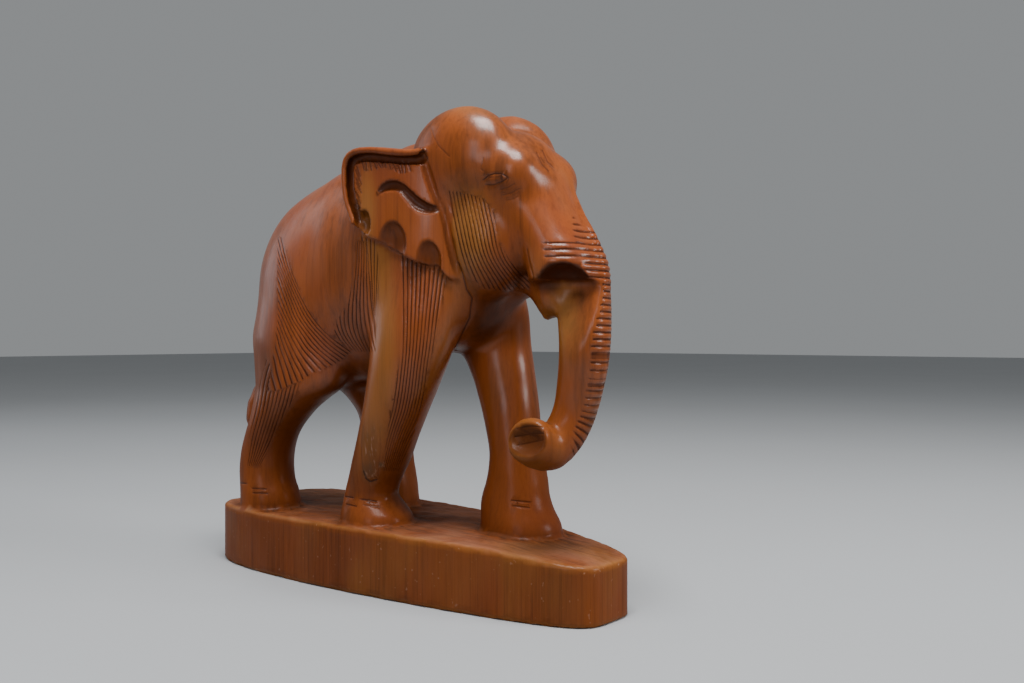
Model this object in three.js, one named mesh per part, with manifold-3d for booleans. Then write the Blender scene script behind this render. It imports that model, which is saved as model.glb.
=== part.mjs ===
// Carved wooden elephant walking on its own plinth, cut from a single block.
// Millimetres, +Z up. +X is the way the elephant walks, +Y is its left side.
// The origin is the middle of the flat underside of the plinth.
import * as THREE from 'three';
import Module from 'manifold-3d';

// Plinth.
const PLINTH_LENGTH = 253;
const PLINTH_WIDTH = 83;
const PLINTH_HEIGHT = 32;
// The outline is a superellipse in plan that is wider at the back than at the front.
const PLINTH_LENGTH_POWER = 1.91;
const PLINTH_WIDTH_POWER = 4.69;
const PLINTH_TAPER = 0.28;
const PLINTH_STATIONS = 64;
const ARRIS_WIDTH = 1.6;
const ARRIS_DROP = 1.8;
// Height of the worn top along the plinth: [x, z]. It falls away at the front.
const PLINTH_TOP = [
  [-127, 31.5], [-60, PLINTH_HEIGHT + 0.2], [40, PLINTH_HEIGHT], [75, 31], [100, 29], [127, 26.5],
];

// Legs.
// Each leg is a column of upright stations: [z, x, y, half length, half width].
// The feet run down into the plinth, so that foot and plinth are one piece.
const FOOT_ROOT = 12;
const RIGHT_FORE_LEG = [
  [20, -4.8, -19.5, 19.5, 18], [32, -4.8, -19.5, 19.2, 18.2], [36, -5.5, -19.5, 18.8, 17.5],
  [41, -7.4, -19.5, 16, 15.8], [45, -8.9, -19.6, 14.2, 14], [50, -7.6, -19.8, 13.9, 13.6],
  [57, -4.1, -20.2, 14.5, 14], [64, -0.5, -20.5, 15.6, 14.5], [80, 6.7, -21.2, 17, 15],
  [99.5, 15, -21.6, 20.5, 15.5], [118, 21.5, -21.6, 24.5, 15.8], [135, 24, -21, 26.5, 15.8],
  [150, 24, -19.5, 26, 15], [175, 20, -15, 18, 12],
];
const LEFT_FORE_LEG = [
  [20, 64.1, 12, 21.5, 18], [32, 64.1, 12, 21.4, 17.8], [36, 63.3, 12.3, 21, 17.4],
  [43, 60.3, 13, 19.2, 16.3], [48.5, 59.5, 13.5, 17.6, 15.6], [54, 59.8, 14, 16.2, 15],
  [60, 59.6, 14.5, 14.9, 14.6], [69, 58.5, 15.5, 14.2, 14], [79, 55.8, 16.2, 14.4, 14],
  [90.5, 52.8, 17, 15.2, 14.4], [102, 49, 17.8, 16.6, 14.8], [111, 45.6, 18, 18.2, 15.2],
  [118, 42.8, 18.2, 19.6, 15.4], [140, 36, 18.6, 24, 15.6], [155, 31, 18, 24, 15],
  [175, 22, 15, 18, 12],
];
const RIGHT_HIND_LEG = [
  [20, -87, -24.5, 17.2, 16.5], [32, -87, -24.5, 17, 16.5], [40, -88, -24.5, 16.6, 16.2],
  [45, -90, -24.3, 15.9, 15.5], [52.4, -91.5, -24, 15.3, 15.2], [59, -90.9, -24, 15, 15],
  [66, -89, -24, 15, 15], [74, -85, -24, 15.8, 15.2], [82, -79.5, -23.5, 19, 15.4],
  [90, -73.5, -22.8, 24.5, 15.6], [97.7, -66.5, -22, 32, 16], [110, -65, -21, 36, 17],
  [130, -66, -19, 37, 19], [160, -66, -14, 28, 14],
];
const LEFT_HIND_LEG = [
  [20, -37, 21, 15.2, 15.2], [37, -37.1, 21, 15, 15], [42, -37.8, 21, 15.2, 15.2],
  [48.6, -39, 21, 15.1, 15.1], [55, -40.5, 21, 15, 15], [66, -41.8, 21.3, 14.8, 15],
  [78.6, -42.6, 21.6, 15.3, 15], [84.7, -44.8, 21.6, 17, 15.2], [90.4, -49, 21.4, 20, 15.6],
  [96.3, -54, 21, 25, 16.2], [110, -60, 21, 32, 17], [130, -64, 19, 36, 19],
  [160, -66, 14, 28, 14],
];
const FORE_LEG_TOP = 172;
const HIND_LEG_TOP = 156;
const LEG_CAP_BLEND = 8;
const LEG_BLEND = 6;

// Body.
// Egg shapes: centre, half sizes, and how softly each runs into the ones before it.
const BODY_EGGS = [
  { centre: [-65, 0, 152], half: [45, 36, 54], soft: 0 },
  { centre: [-60, 0, 140], half: [42, 34, 38], soft: 8 },
  { centre: [-26, 0, 160], half: [64, 37, 58.5], soft: 12 },
  { centre: [12, 0, 171], half: [44, 35, 54], soft: 12 },
  { centre: [36, 0, 149], half: [28, 28, 29], soft: 10 },
];

// Head.
// Paired eggs are given for the left side and mirrored to the right.
const SKULL = { centre: [54, 0, 185], half: [33, 24, 37] };
const CROWN_DOME = { centre: [50.5, 15, 208.6], half: [30.5, 18.2, 26.4], soft: 4 };
const FOREHEAD = { centre: [70, 0, 198], half: [23, 22, 25], soft: 4 };
const BROW = { centre: [80.5, 14.5, 199], half: [13.5, 11, 13], soft: 7 };
const CHEEK = { centre: [62, 10, 170], half: [25, 18, 27], soft: 9 };
const HEAD_BLEND = 7;
// The face narrows towards the trunk and flares to a lip over the tusk sockets.
const MUZZLE = [
  [140, 102, 0, 16, 17], [150, 102, 0, 17, 19.6], [157, 101, 0, 18, 19.8], [165, 97, 0, 18.2, 19.2],
  [171, 93, 0, 17.6, 19.4], [180, 87.5, 0, 17.4, 20], [188, 82, 0, 19.2, 20.4], [205, 75, 0, 19, 20],
];
const MUZZLE_TOP = 204;
const MUZZLE_LIP_LEVEL = 150.5;
const MUZZLE_LIP_ROUND = 2;
const MUZZLE_BLEND = 6;
const TUSK_HOLLOW = { centre: [112, 17.5, 144.5], half: [14.5, 13.5, 13] };
const HOLLOW_ROUND = 1.5;
// Lower lip, hanging to a point behind the trunk: [x, y, z, radius].
const LOWER_LIP = [
  [56, 0, 162, 13], [72, 0, 156, 8.8], [83, 0, 149.5, 6.6], [88, 0, 141, 4.2], [89.5, 0, 135, 2.2],
];
const LOWER_LIP_BLEND = 4;
const PALATE = { centre: [94, 0, 147], half: [9, 9, 13], soft: 4 };

// Trunk.
// [x, y, z, radius] along the middle of the trunk, which curls to the right at its end.
const TRUNK = [
  [82, 0, 192, 17], [92, 0, 178, 15.8], [102, 0, 164, 14.6], [108.6, 0, 150, 13.4],
  [110.8, 0, 134, 12.5], [110.8, 0, 118, 11.8], [108.5, 0, 103, 10.9], [105.5, -1, 90, 10.2],
  [102.5, -5.5, 80.5, 10.1], [100, -11.5, 76, 10.4], [98.5, -17, 77, 10.8], [98, -22, 79.5, 10.8],
];
const TRUNK_BLEND = 5;
const TRUNK_TIP = [98, -22, 79.5];
const TRUNK_TIP_FACING = [0.12, -0.93, 0.33];
const TRUNK_TIP_REACH = 6;
const TRUNK_TIP_ROUND = 2.5;
const TRUNK_DISH = { half: [8.5, 4.2, 6.6], lift: 8.2, round: 1 };

// Ears.
// Outline of an ear seen from the side, [x, z], from the top of its root round the back.
const EAR_OUTLINE = [
  [56, 204], [53, 213.4], [38.3, 213.4], [30.9, 214], [19.6, 216], [8, 217.2], [-0.3, 215.5],
  [-4, 211], [-4.8, 203.7], [-3.6, 192.6], [-0.4, 185], [2.8, 179.2], [9, 173.9], [17.7, 170.8],
  [24.8, 166.7], [34.8, 162], [42.5, 158.8], [46.3, 159.2], [49.4, 155.7], [52.7, 151.9],
  [55.2, 153.3], [55.6, 159.4], [54.5, 171], [57, 182], [58, 193],
];
// How far out the middle of the leaf stands: at its root, and how it flares towards the back.
const EAR_ROOT_OUT = 20;
const EAR_FLARE = 20.5;
const EAR_FLARE_START = 58;
const EAR_FLARE_LENGTH = 17;
const EAR_HALF_THICKNESS = 4.5;
const EAR_SET_IN = 2.3;
const EAR_EDGE_ROUND = 2.5;
// Everything below is placed by its lift above the middle of the leaf.
const EAR_RIM = { radius: 2, inset: 1.9, lift: 2.6, soft: 1 };
const EAR_UNDERCUT = { radius: 1.9, inset: 5.2, lift: 1, soft: 0.8 };
const EAR_RIM_FRONT = 50;
const EAR_RIM_FOOT = 173;
const EAR_RIM_FADE = 7;
const EAR_RIM_HIDE = 6;
// Scoops that open at the lower edge: [x, lift, z].
const EAR_SCOOPS = [
  { centre: [9.4, 3.6, 180], half: [4.2, 5.4, 6.6] },
  { centre: [26.8, 3.4, 169.3], half: [7.6, 5.4, 10.9] },
  { centre: [44.8, 3.4, 160.3], half: [5, 5.4, 10] },
];
// The fold of the ear, a slit that sinks to the ear hole: [x, lift, z, radius].
const EAR_FOLD = [
  [18.3, 2, 193.8, 0.6], [22.3, 2, 196.4, 1.8], [27.2, 2, 197.1, 2.2], [32.2, 2, 195.4, 1.9],
  [36.2, 2, 191.4, 2.1], [40.3, 2, 187.4, 2.5], [44.7, 2, 185.2, 2], [49.7, 2, 184.8, 0.7],
];
const EAR_CUT_ROUND = 0.8;
// Cut that parts the ear from the head: [x, y, z, radius].
const EAR_SEAM = [
  [42.4, 34.6, 213, 0.8], [44, 34.2, 206, 1.6], [48, 31.9, 192, 1.8], [51.5, 29.3, 182, 1.8],
  [53.5, 28.3, 171, 1.8], [55.6, 26.6, 160, 1.8], [57, 25.4, 152, 1],
];
const EAR_SEAM_ROUND = 1;
const EAR_BLEND = 2;

// Tail.
const TAIL = [
  [-96, 3, 192, 4], [-104, 4, 178, 4], [-109, 4.5, 155, 4], [-110, 2, 130, 4],
  [-108, -6, 108, 4.2], [-107.5, -14, 94, 6.5], [-106, -18, 82, 8.3], [-105.5, -19.5, 72, 5.5],
];
const TAIL_BLEND = 3;

// Surface.
const CELL = 2;
const CREVICE_FILL = 0.05;
const ELEPHANT_TRIANGLES = 8900;
const WOOD_COLOUR = 0x9c5222;
const WOOD_ROUGHNESS = 0.34;

const clamp = THREE.MathUtils.clamp;

/** Smooth union of two distances, rounded over the width `soft`. */
function join(a, b, soft) {
  if (soft <= 0) return Math.min(a, b);
  const h = clamp(0.5 + (0.5 * (b - a)) / soft, 0, 1);
  return b * (1 - h) + a * h - soft * h * (1 - h);
}

/** Smooth intersection of two distances. */
function meet(a, b, soft) {
  return -join(-a, -b, soft);
}

/** A smooth run of values through rows [t, v0, v1, ...] sorted by t. */
class Profile {
  constructor(rows) {
    this.rows = rows;
    this.slopes = rows.map((row, i) => {
      const before = i > 0 ? this.chord(i - 1) : null;
      const after = i < rows.length - 1 ? this.chord(i) : null;
      const pair = [before ?? after, after ?? before];
      return pair[0].map((v, k) => (v + pair[1][k]) / 2);
    });
  }

  chord(i) {
    const a = this.rows[i];
    const b = this.rows[i + 1];
    return a.slice(1).map((v, k) => (b[k + 1] - v) / (b[0] - a[0]));
  }

  at(t) {
    const rows = this.rows;
    const x = clamp(t, rows[0][0], rows[rows.length - 1][0]);
    let i = 0;
    while (i < rows.length - 2 && x >= rows[i + 1][0]) i += 1;
    const h = rows[i + 1][0] - rows[i][0];
    const s = (x - rows[i][0]) / h;
    const s2 = s * s;
    const s3 = s2 * s;
    const out = [];
    for (let k = 1; k < rows[i].length; k += 1) {
      out.push(
        (2 * s3 - 3 * s2 + 1) * rows[i][k] + (s3 - 2 * s2 + s) * h * this.slopes[i][k - 1]
        + (3 * s2 - 2 * s3) * rows[i + 1][k] + (s3 - s2) * h * this.slopes[i + 1][k - 1],
      );
    }
    return out;
  }
}

/** Distance to an egg with half sizes `half` about `centre`. */
function egg({ centre, half }) {
  return (x, y, z) => {
    const qx = (x - centre[0]) / half[0];
    const qy = (y - centre[1]) / half[1];
    const qz = (z - centre[2]) / half[2];
    const k0 = Math.hypot(qx, qy, qz);
    const k1 = Math.hypot(qx / half[0], qy / half[1], qz / half[2]) + 1e-9;
    return (k0 * (k0 - 1)) / k1;
  };
}

/** Distance to an upright column through rows [z, x, y, half length, half width]. */
function column(rows, top, capBlend) {
  const profile = new Profile(rows);
  return (x, y, z) => {
    const [cx, cy, rx, ry] = profile.at(z);
    const qx = (x - cx) / rx;
    const qy = (y - cy) / ry;
    const k0 = Math.hypot(qx, qy);
    const k1 = Math.hypot(qx / rx, qy / ry) + 1e-9;
    const side = k0 < 1e-6 ? -Math.min(rx, ry) : (k0 * (k0 - 1)) / k1;
    return meet(side, z - top, capBlend);
  };
}

/** Distance to a round tube through rows [x, y, z, radius]. */
function tube(rows, pieces) {
  let run = 0;
  const along = rows.map((row, i) => {
    if (i > 0) {
      const last = rows[i - 1];
      run += Math.hypot(row[0] - last[0], row[1] - last[1], row[2] - last[2]);
    }
    return [run, ...row];
  });
  const profile = new Profile(along);
  const nodes = [];
  for (let i = 0; i <= pieces; i += 1) nodes.push(profile.at((run * i) / pieces));
  return (x, y, z) => {
    let best = Infinity;
    for (let i = 0; i < pieces; i += 1) {
      const a = nodes[i];
      const b = nodes[i + 1];
      const ex = b[0] - a[0];
      const ey = b[1] - a[1];
      const ez = b[2] - a[2];
      const dot = (x - a[0]) * ex + (y - a[1]) * ey + (z - a[2]) * ez;
      const t = clamp(dot / (ex * ex + ey * ey + ez * ez), 0, 1);
      const gap = Math.hypot(x - a[0] - t * ex, y - a[1] - t * ey, z - a[2] - t * ez);
      best = Math.min(best, gap - (a[3] + t * (b[3] - a[3])));
    }
    return best;
  };
}

/** The same field for both sides of the elephant. */
function mirrored(field) {
  return (x, y, z) => field(x, Math.abs(y), z);
}

/** A field worked out only near its own box; farther away the box distance stands in. */
function within(lo, hi, margin, field) {
  return (x, y, z) => {
    const gap = Math.hypot(
      Math.max(lo[0] - x, x - hi[0], 0),
      Math.max(lo[1] - y, y - hi[1], 0),
      Math.max(lo[2] - z, z - hi[2], 0),
    );
    return gap < margin ? field(x, y, z) : gap;
  };
}

/** Signed distance to a closed outline in the plane. */
function outlineDistance(points, u, v) {
  let nearest = Infinity;
  let inside = false;
  for (let i = 0, j = points.length - 1; i < points.length; j = i, i += 1) {
    const a = points[j];
    const b = points[i];
    const ex = b.x - a.x;
    const ey = b.y - a.y;
    const t = clamp(((u - a.x) * ex + (v - a.y) * ey) / (ex * ex + ey * ey), 0, 1);
    nearest = Math.min(nearest, Math.hypot(u - a.x - t * ex, v - a.y - t * ey));
    if (a.y > v !== b.y > v && u < a.x + (ex * (v - a.y)) / ey) inside = !inside;
  }
  return inside ? -nearest : nearest;
}

/** One ear: a flared leaf with a rolled rim, scoops along its lower edge and a folded slit. */
function ear() {
  const corners = EAR_OUTLINE.map(([x, z]) => new THREE.Vector3(x, z, 0));
  const outline = new THREE.CatmullRomCurve3(corners, true).getPoints(EAR_OUTLINE.length * 2);
  outline.pop();
  const cuts = [tube(EAR_FOLD, 16), ...EAR_SCOOPS.map(egg)];
  return (x, y, z) => {
    const reach = Math.max(EAR_FLARE_START - x, 0) / EAR_FLARE_LENGTH;
    const lift = y - EAR_ROOT_OUT - EAR_FLARE * (1 - Math.exp(-reach));
    const edge = outlineDistance(outline, x, z);
    const leaf = Math.abs(lift + EAR_SET_IN) - EAR_HALF_THICKNESS;
    const strength = clamp((EAR_RIM_FRONT - x) / EAR_RIM_FADE, 0, 1)
      * clamp((z - EAR_RIM_FOOT) / EAR_RIM_FADE, 0, 1);
    const hidden = (1 - strength) * EAR_RIM_HIDE;
    const along = ({ radius, inset, lift: level }) => (
      Math.hypot(edge + inset, lift - level) - radius + hidden
    );
    let d = meet(edge, leaf, EAR_EDGE_ROUND);
    d = join(d, along(EAR_RIM), EAR_RIM.soft);
    d = meet(d, -along(EAR_UNDERCUT), EAR_UNDERCUT.soft);
    for (const cut of cuts) d = meet(d, -cut(x, lift, z), EAR_CUT_ROUND);
    return d;
  };
}

/** The trunk, cut off square at its end and dished between the two lips of the tip. */
function trunk() {
  const stem = tube(TRUNK, 36);
  const facing = new THREE.Vector3(...TRUNK_TIP_FACING).normalize();
  const tip = new THREE.Vector3(...TRUNK_TIP);
  const dishCentre = tip.clone().addScaledVector(facing, TRUNK_DISH.lift);
  const dish = egg({ centre: dishCentre.toArray(), half: TRUNK_DISH.half });
  return (x, y, z) => {
    const ahead = (x - tip.x) * facing.x + (y - tip.y) * facing.y + (z - tip.z) * facing.z;
    const stub = meet(stem(x, y, z), ahead - TRUNK_TIP_REACH, TRUNK_TIP_ROUND);
    return meet(stub, -dish(x, y, z), TRUNK_DISH.round);
  };
}

/** Skull, domes, forehead, brows, cheeks, muzzle with its tusk sockets, and lower lip. */
function head() {
  const skull = egg(SKULL);
  const shapes = [
    { field: mirrored(egg(CROWN_DOME)), soft: CROWN_DOME.soft },
    { field: egg(FOREHEAD), soft: FOREHEAD.soft },
    { field: mirrored(egg(BROW)), soft: BROW.soft },
    { field: mirrored(egg(CHEEK)), soft: CHEEK.soft },
  ];
  const muzzle = column(MUZZLE, MUZZLE_TOP, LEG_CAP_BLEND);
  const hollow = mirrored(egg(TUSK_HOLLOW));
  const lip = tube(LOWER_LIP, 10);
  const palate = egg(PALATE);
  return (x, y, z) => {
    let d = skull(x, y, z);
    for (const shape of shapes) d = join(d, shape.field(x, y, z), shape.soft);
    const face = meet(muzzle(x, y, z), MUZZLE_LIP_LEVEL - z, MUZZLE_LIP_ROUND);
    d = join(d, face, MUZZLE_BLEND);
    d = meet(d, -hollow(x, y, z), HOLLOW_ROUND);
    d = join(d, lip(x, y, z), LOWER_LIP_BLEND);
    return join(d, palate(x, y, z), PALATE.soft);
  };
}

/** The whole animal, with its feet running down into the plinth. */
function elephant() {
  const eggs = BODY_EGGS.map((shape) => ({ field: egg(shape), soft: shape.soft }));
  const foreTop = FORE_LEG_TOP;
  const hindTop = HIND_LEG_TOP;
  const rightFore = column(RIGHT_FORE_LEG, foreTop, LEG_CAP_BLEND);
  const leftFore = column(LEFT_FORE_LEG, foreTop, LEG_CAP_BLEND);
  const rightHind = column(RIGHT_HIND_LEG, hindTop, LEG_CAP_BLEND);
  const leftHind = column(LEFT_HIND_LEG, hindTop, LEG_CAP_BLEND);
  const headField = within([10, -40, 120], [125, 40, 240], 15, head());
  const trunkField = within([60, -40, 60], [130, 25, 215], 15, trunk());
  const earField = within([-16, 20, 146], [62, 46, 224], 8, ear());
  const seam = within([40, 22, 148], [60, 38, 216], 8, tube(EAR_SEAM, 12));
  const tailField = within([-125, -32, 60], [-90, 14, 200], 12, tube(TAIL, 18));
  return (x, y, z) => {
    let d = eggs[0].field(x, y, z);
    for (let i = 1; i < eggs.length; i += 1) d = join(d, eggs[i].field(x, y, z), eggs[i].soft);
    d = join(d, Math.min(rightFore(x, y, z), leftFore(x, y, z)), LEG_BLEND);
    d = join(d, Math.min(rightHind(x, y, z), leftHind(x, y, z)), LEG_BLEND);
    d = join(d, headField(x, y, z), HEAD_BLEND);
    d = join(d, trunkField(x, y, z), TRUNK_BLEND);
    d = join(d, earField(x, Math.abs(y), z), EAR_BLEND);
    d = meet(d, -seam(x, Math.abs(y), z), EAR_SEAM_ROUND);
    d = join(d, tailField(x, y, z), TAIL_BLEND);
    return Math.max(d, FOOT_ROOT - z);
  };
}

/** Whether the corners of a cube picked by the bits of `mask` hang together along its edges. */
function hangsTogether(mask) {
  let reached = mask & -mask;
  for (let pass = 0; pass < 7; pass += 1) {
    for (let corner = 0; corner < 8; corner += 1) {
      const beside = (1 << (corner ^ 1)) | (1 << (corner ^ 2)) | (1 << (corner ^ 4));
      if (mask & (1 << corner) && reached & beside) reached |= 1 << corner;
    }
  }
  return reached === mask;
}

/** Fills crevices finer than the grid, so that no cube holds two sheets of the surface. */
function fillCrevices(value, n, stride) {
  const single = [];
  for (let mask = 0; mask < 256; mask += 1) {
    single.push(hangsTogether(mask) && hangsTogether(255 - mask));
  }
  const offsets = [];
  for (let corner = 0; corner < 8; corner += 1) {
    offsets.push((corner & 1) + ((corner >> 1) & 1) * stride[1] + (corner >> 2) * stride[2]);
  }
  let changed = true;
  while (changed) {
    changed = false;
    for (let k = 0; k < n[2] - 1; k += 1) {
      for (let j = 0; j < n[1] - 1; j += 1) {
        for (let i = 0; i < n[0] - 1; i += 1) {
          const at = i + j * stride[1] + k * stride[2];
          const mask = offsets.reduce((m, o, bit) => m | (value[at + o] < 0 ? 1 << bit : 0), 0);
          if (single[mask]) continue;
          const open = offsets.filter((o) => value[at + o] >= 0);
          const lowest = open.reduce((a, b) => (value[at + b] < value[at + a] ? b : a));
          value[at + lowest] = -CREVICE_FILL;
          changed = true;
        }
      }
    }
  }
}

/** Closed mesh of the zero level of `field` inside the box, with its points on that level. */
function surface(field, lo, hi, cell) {
  const n = [0, 1, 2].map((k) => Math.ceil((hi[k] - lo[k]) / cell) + 1);
  const stride = [1, n[0], n[0] * n[1]];
  const value = new Float64Array(n[0] * n[1] * n[2]);
  for (let k = 0, at = 0; k < n[2]; k += 1) {
    for (let j = 0; j < n[1]; j += 1) {
      for (let i = 0; i < n[0]; i += 1, at += 1) {
        value[at] = field(lo[0] + i * cell, lo[1] + j * cell, lo[2] + k * cell);
      }
    }
  }
  fillCrevices(value, n, stride);
  const pointOf = new Map();
  const points = [];
  const pointIn = (i, j, k) => {
    const cellKey = i + j * stride[1] + k * stride[2];
    if (pointOf.has(cellKey)) return pointOf.get(cellKey);
    const sum = [0, 0, 0];
    let count = 0;
    for (let axis = 0; axis < 3; axis += 1) {
      const side = [0, 1, 2].filter((a) => a !== axis);
      for (let c = 0; c < 4; c += 1) {
        const corner = [0, 0, 0];
        corner[side[0]] = c % 2;
        corner[side[1]] = c >> 1;
        const a = value[cellKey + corner[0] + corner[1] * stride[1] + corner[2] * stride[2]];
        const b = value[cellKey + corner[0] + corner[1] * stride[1] + corner[2] * stride[2]
          + stride[axis]];
        if (a < 0 !== b < 0) {
          corner[axis] = a / (a - b);
          for (let m = 0; m < 3; m += 1) sum[m] += corner[m];
          count += 1;
        }
      }
    }
    const p = [i, j, k].map((c, m) => lo[m] + cell * (c + sum[m] / count));
    points.push(settle(field, p, cell));
    pointOf.set(cellKey, points.length - 1);
    return points.length - 1;
  };
  const triangles = [];
  for (let axis = 0; axis < 3; axis += 1) {
    const u = (axis + 1) % 3;
    const v = (axis + 2) % 3;
    const c = [0, 0, 0];
    for (c[2] = 0; c[2] < n[2]; c[2] += 1) {
      for (c[1] = 0; c[1] < n[1]; c[1] += 1) {
        for (c[0] = 0; c[0] < n[0]; c[0] += 1) {
          if (c[axis] >= n[axis] - 1 || c[u] < 1 || c[v] < 1) continue;
          const at = c[0] + c[1] * stride[1] + c[2] * stride[2];
          const near = value[at] < 0;
          if (near === value[at + stride[axis]] < 0) continue;
          const ring = [[1, 1], [0, 1], [0, 0], [1, 0]].map(([du, dv]) => {
            const q = [...c];
            q[u] -= du;
            q[v] -= dv;
            return pointIn(...q);
          });
          if (!near) ring.reverse();
          triangles.push([ring[0], ring[1], ring[2]], [ring[0], ring[2], ring[3]]);
        }
      }
    }
  }
  return { points, triangles };
}

/** Moves a point along the slope of the field until it lies on the zero level. */
function settle(field, point, cell) {
  const e = 0.02 * cell;
  let p = point;
  for (let step = 0; step < 3; step += 1) {
    const d = field(...p);
    const g = [0, 1, 2].map((k) => {
      const a = [...p];
      const b = [...p];
      a[k] += e;
      b[k] -= e;
      return (field(...a) - field(...b)) / (2 * e);
    });
    const g2 = Math.max(g[0] * g[0] + g[1] * g[1] + g[2] * g[2], 0.05);
    const length = (Math.abs(d) / g2) * Math.sqrt(g2);
    const share = length > 0.5 * cell ? (0.5 * cell) / length : 1;
    p = p.map((c, k) => c - (share * d * g[k]) / g2);
  }
  return p;
}

/** Thins a closed mesh by collapsing the edges whose loss changes its form the least. */
class Thinner {
  constructor({ points, triangles }) {
    this.points = points.map((p) => [...p]);
    this.triangles = triangles.map((t) => [...t]);
    this.alive = triangles.map(() => true);
    this.count = triangles.length;
    this.fans = points.map(() => new Set());
    this.quadrics = points.map(() => new Float64Array(10));
    this.stamps = new Int32Array(points.length);
    this.heap = [];
    this.triangles.forEach((t, i) => {
      const plane = this.plane(t, this.points);
      for (const v of t) {
        this.fans[v].add(i);
        this.addPlane(this.quadrics[v], plane);
      }
    });
  }

  plane(t, points) {
    const [a, b, c] = t.map((v) => points[v]);
    const u = [b[0] - a[0], b[1] - a[1], b[2] - a[2]];
    const w = [c[0] - a[0], c[1] - a[1], c[2] - a[2]];
    const n = [u[1] * w[2] - u[2] * w[1], u[2] * w[0] - u[0] * w[2], u[0] * w[1] - u[1] * w[0]];
    const size = Math.hypot(...n) + 1e-12;
    const m = n.map((k) => k / size);
    return { n: m, d: -(m[0] * a[0] + m[1] * a[1] + m[2] * a[2]), area: size / 2 };
  }

  addPlane(q, { n, d, area }) {
    const v = [n[0], n[1], n[2], d];
    let at = 0;
    for (let i = 0; i < 4; i += 1) {
      for (let j = i; j < 4; j += 1) {
        q[at] += area * v[i] * v[j];
        at += 1;
      }
    }
  }

  cost(q, p) {
    const [x, y, z] = p;
    return q[0] * x * x + 2 * q[1] * x * y + 2 * q[2] * x * z + 2 * q[3] * x + q[4] * y * y
      + 2 * q[5] * y * z + 2 * q[6] * y + q[7] * z * z + 2 * q[8] * z + q[9];
  }

  /** The place for the merged point of an edge, and what the merge costs. */
  proposal(a, b) {
    const q = this.quadrics[a].map((v, i) => v + this.quadrics[b][i]);
    const middle = this.points[a].map((v, k) => (v + this.points[b][k]) / 2);
    const matrix = new THREE.Matrix3().set(q[0], q[1], q[2], q[1], q[4], q[5], q[2], q[5], q[7]);
    const choices = [this.points[a], this.points[b], middle];
    const scale = (q[0] + q[4] + q[7]) / 3;
    if (Math.abs(matrix.determinant()) > 1e-4 * scale ** 3) {
      const best = new THREE.Vector3(-q[3], -q[6], -q[8]).applyMatrix3(matrix.invert());
      const reach = Math.hypot(...middle.map((v, k) => v - best.getComponent(k)));
      const span = Math.hypot(...this.points[a].map((v, k) => v - this.points[b][k]));
      if (reach < span) choices.push(best.toArray());
    }
    const costs = choices.map((p) => this.cost(q, p));
    const pick = costs.indexOf(Math.min(...costs));
    const span2 = this.points[a].reduce((s, v, k) => s + (v - this.points[b][k]) ** 2, 0);
    return { place: choices[pick], cost: Math.max(costs[pick], 0) + 2e-4 * span2 * span2 };
  }

  push(a, b) {
    const item = { a, b, ...this.proposal(a, b), ages: [this.stamps[a], this.stamps[b]] };
    const heap = this.heap;
    let i = heap.push(item) - 1;
    while (i > 0) {
      const parent = (i - 1) >> 1;
      if (heap[parent].cost <= item.cost) break;
      heap[i] = heap[parent];
      i = parent;
    }
    heap[i] = item;
  }

  pop() {
    const heap = this.heap;
    const top = heap[0];
    const last = heap.pop();
    if (heap.length === 0) return top;
    let i = 0;
    for (;;) {
      let child = 2 * i + 1;
      if (child >= heap.length) break;
      if (child + 1 < heap.length && heap[child + 1].cost < heap[child].cost) child += 1;
      if (heap[child].cost >= last.cost) break;
      heap[i] = heap[child];
      i = child;
    }
    heap[i] = last;
    return top;
  }

  neighbours(v) {
    const set = new Set();
    for (const i of this.fans[v]) for (const w of this.triangles[i]) if (w !== v) set.add(w);
    return set;
  }

  /** Whether the edge can go without folding or pinching the surface. */
  allowed(a, b, place) {
    const around = this.neighbours(a);
    let shared = 0;
    for (const v of this.neighbours(b)) if (around.has(v)) shared += 1;
    if (shared !== 2) return false;
    for (const v of [a, b]) {
      for (const i of this.fans[v]) {
        const t = this.triangles[i];
        if (t.includes(a) && t.includes(b)) continue;
        const before = this.plane(t, this.points);
        const moved = t.map((w) => (w === v ? place : this.points[w]));
        const after = this.plane([0, 1, 2], moved);
        const turn = before.n[0] * after.n[0] + before.n[1] * after.n[1]
          + before.n[2] * after.n[2];
        let longest = 0;
        for (let k = 0; k < 3; k += 1) {
          const p = moved[k];
          const q = moved[(k + 1) % 3];
          longest = Math.max(longest, Math.hypot(p[0] - q[0], p[1] - q[1], p[2] - q[2]));
        }
        if (turn < 0.5 || after.area < 0.06 * longest * longest) return false;
      }
    }
    return true;
  }

  merge(a, b, place) {
    this.points[a] = place;
    this.quadrics[b].forEach((v, i) => { this.quadrics[a][i] += v; });
    for (const i of [...this.fans[b]]) {
      const t = this.triangles[i];
      if (t.includes(a)) {
        this.alive[i] = false;
        this.count -= 1;
        for (const v of t) this.fans[v].delete(i);
      } else {
        t[t.indexOf(b)] = a;
        this.fans[a].add(i);
      }
    }
    this.fans[b].clear();
    this.stamps[a] += 1;
    this.stamps[b] = -1;
    for (const v of this.neighbours(a)) this.push(a, v);
  }

  run(target) {
    for (let v = 0; v < this.points.length; v += 1) {
      for (const w of this.neighbours(v)) if (v < w) this.push(v, w);
    }
    while (this.count > target && this.heap.length > 0) {
      const { a, b, place, ages } = this.pop();
      const fresh = this.stamps[a] === ages[0] && this.stamps[b] === ages[1];
      if (fresh && this.allowed(a, b, place)) this.merge(a, b, place);
    }
    const index = new Map();
    const points = [];
    const triangles = this.triangles.filter((t, i) => this.alive[i]).map((t) => t.map((v) => {
      if (!index.has(v)) {
        index.set(v, points.length);
        points.push(this.points[v]);
      }
      return index.get(v);
    }));
    return { points, triangles };
  }
}

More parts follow.
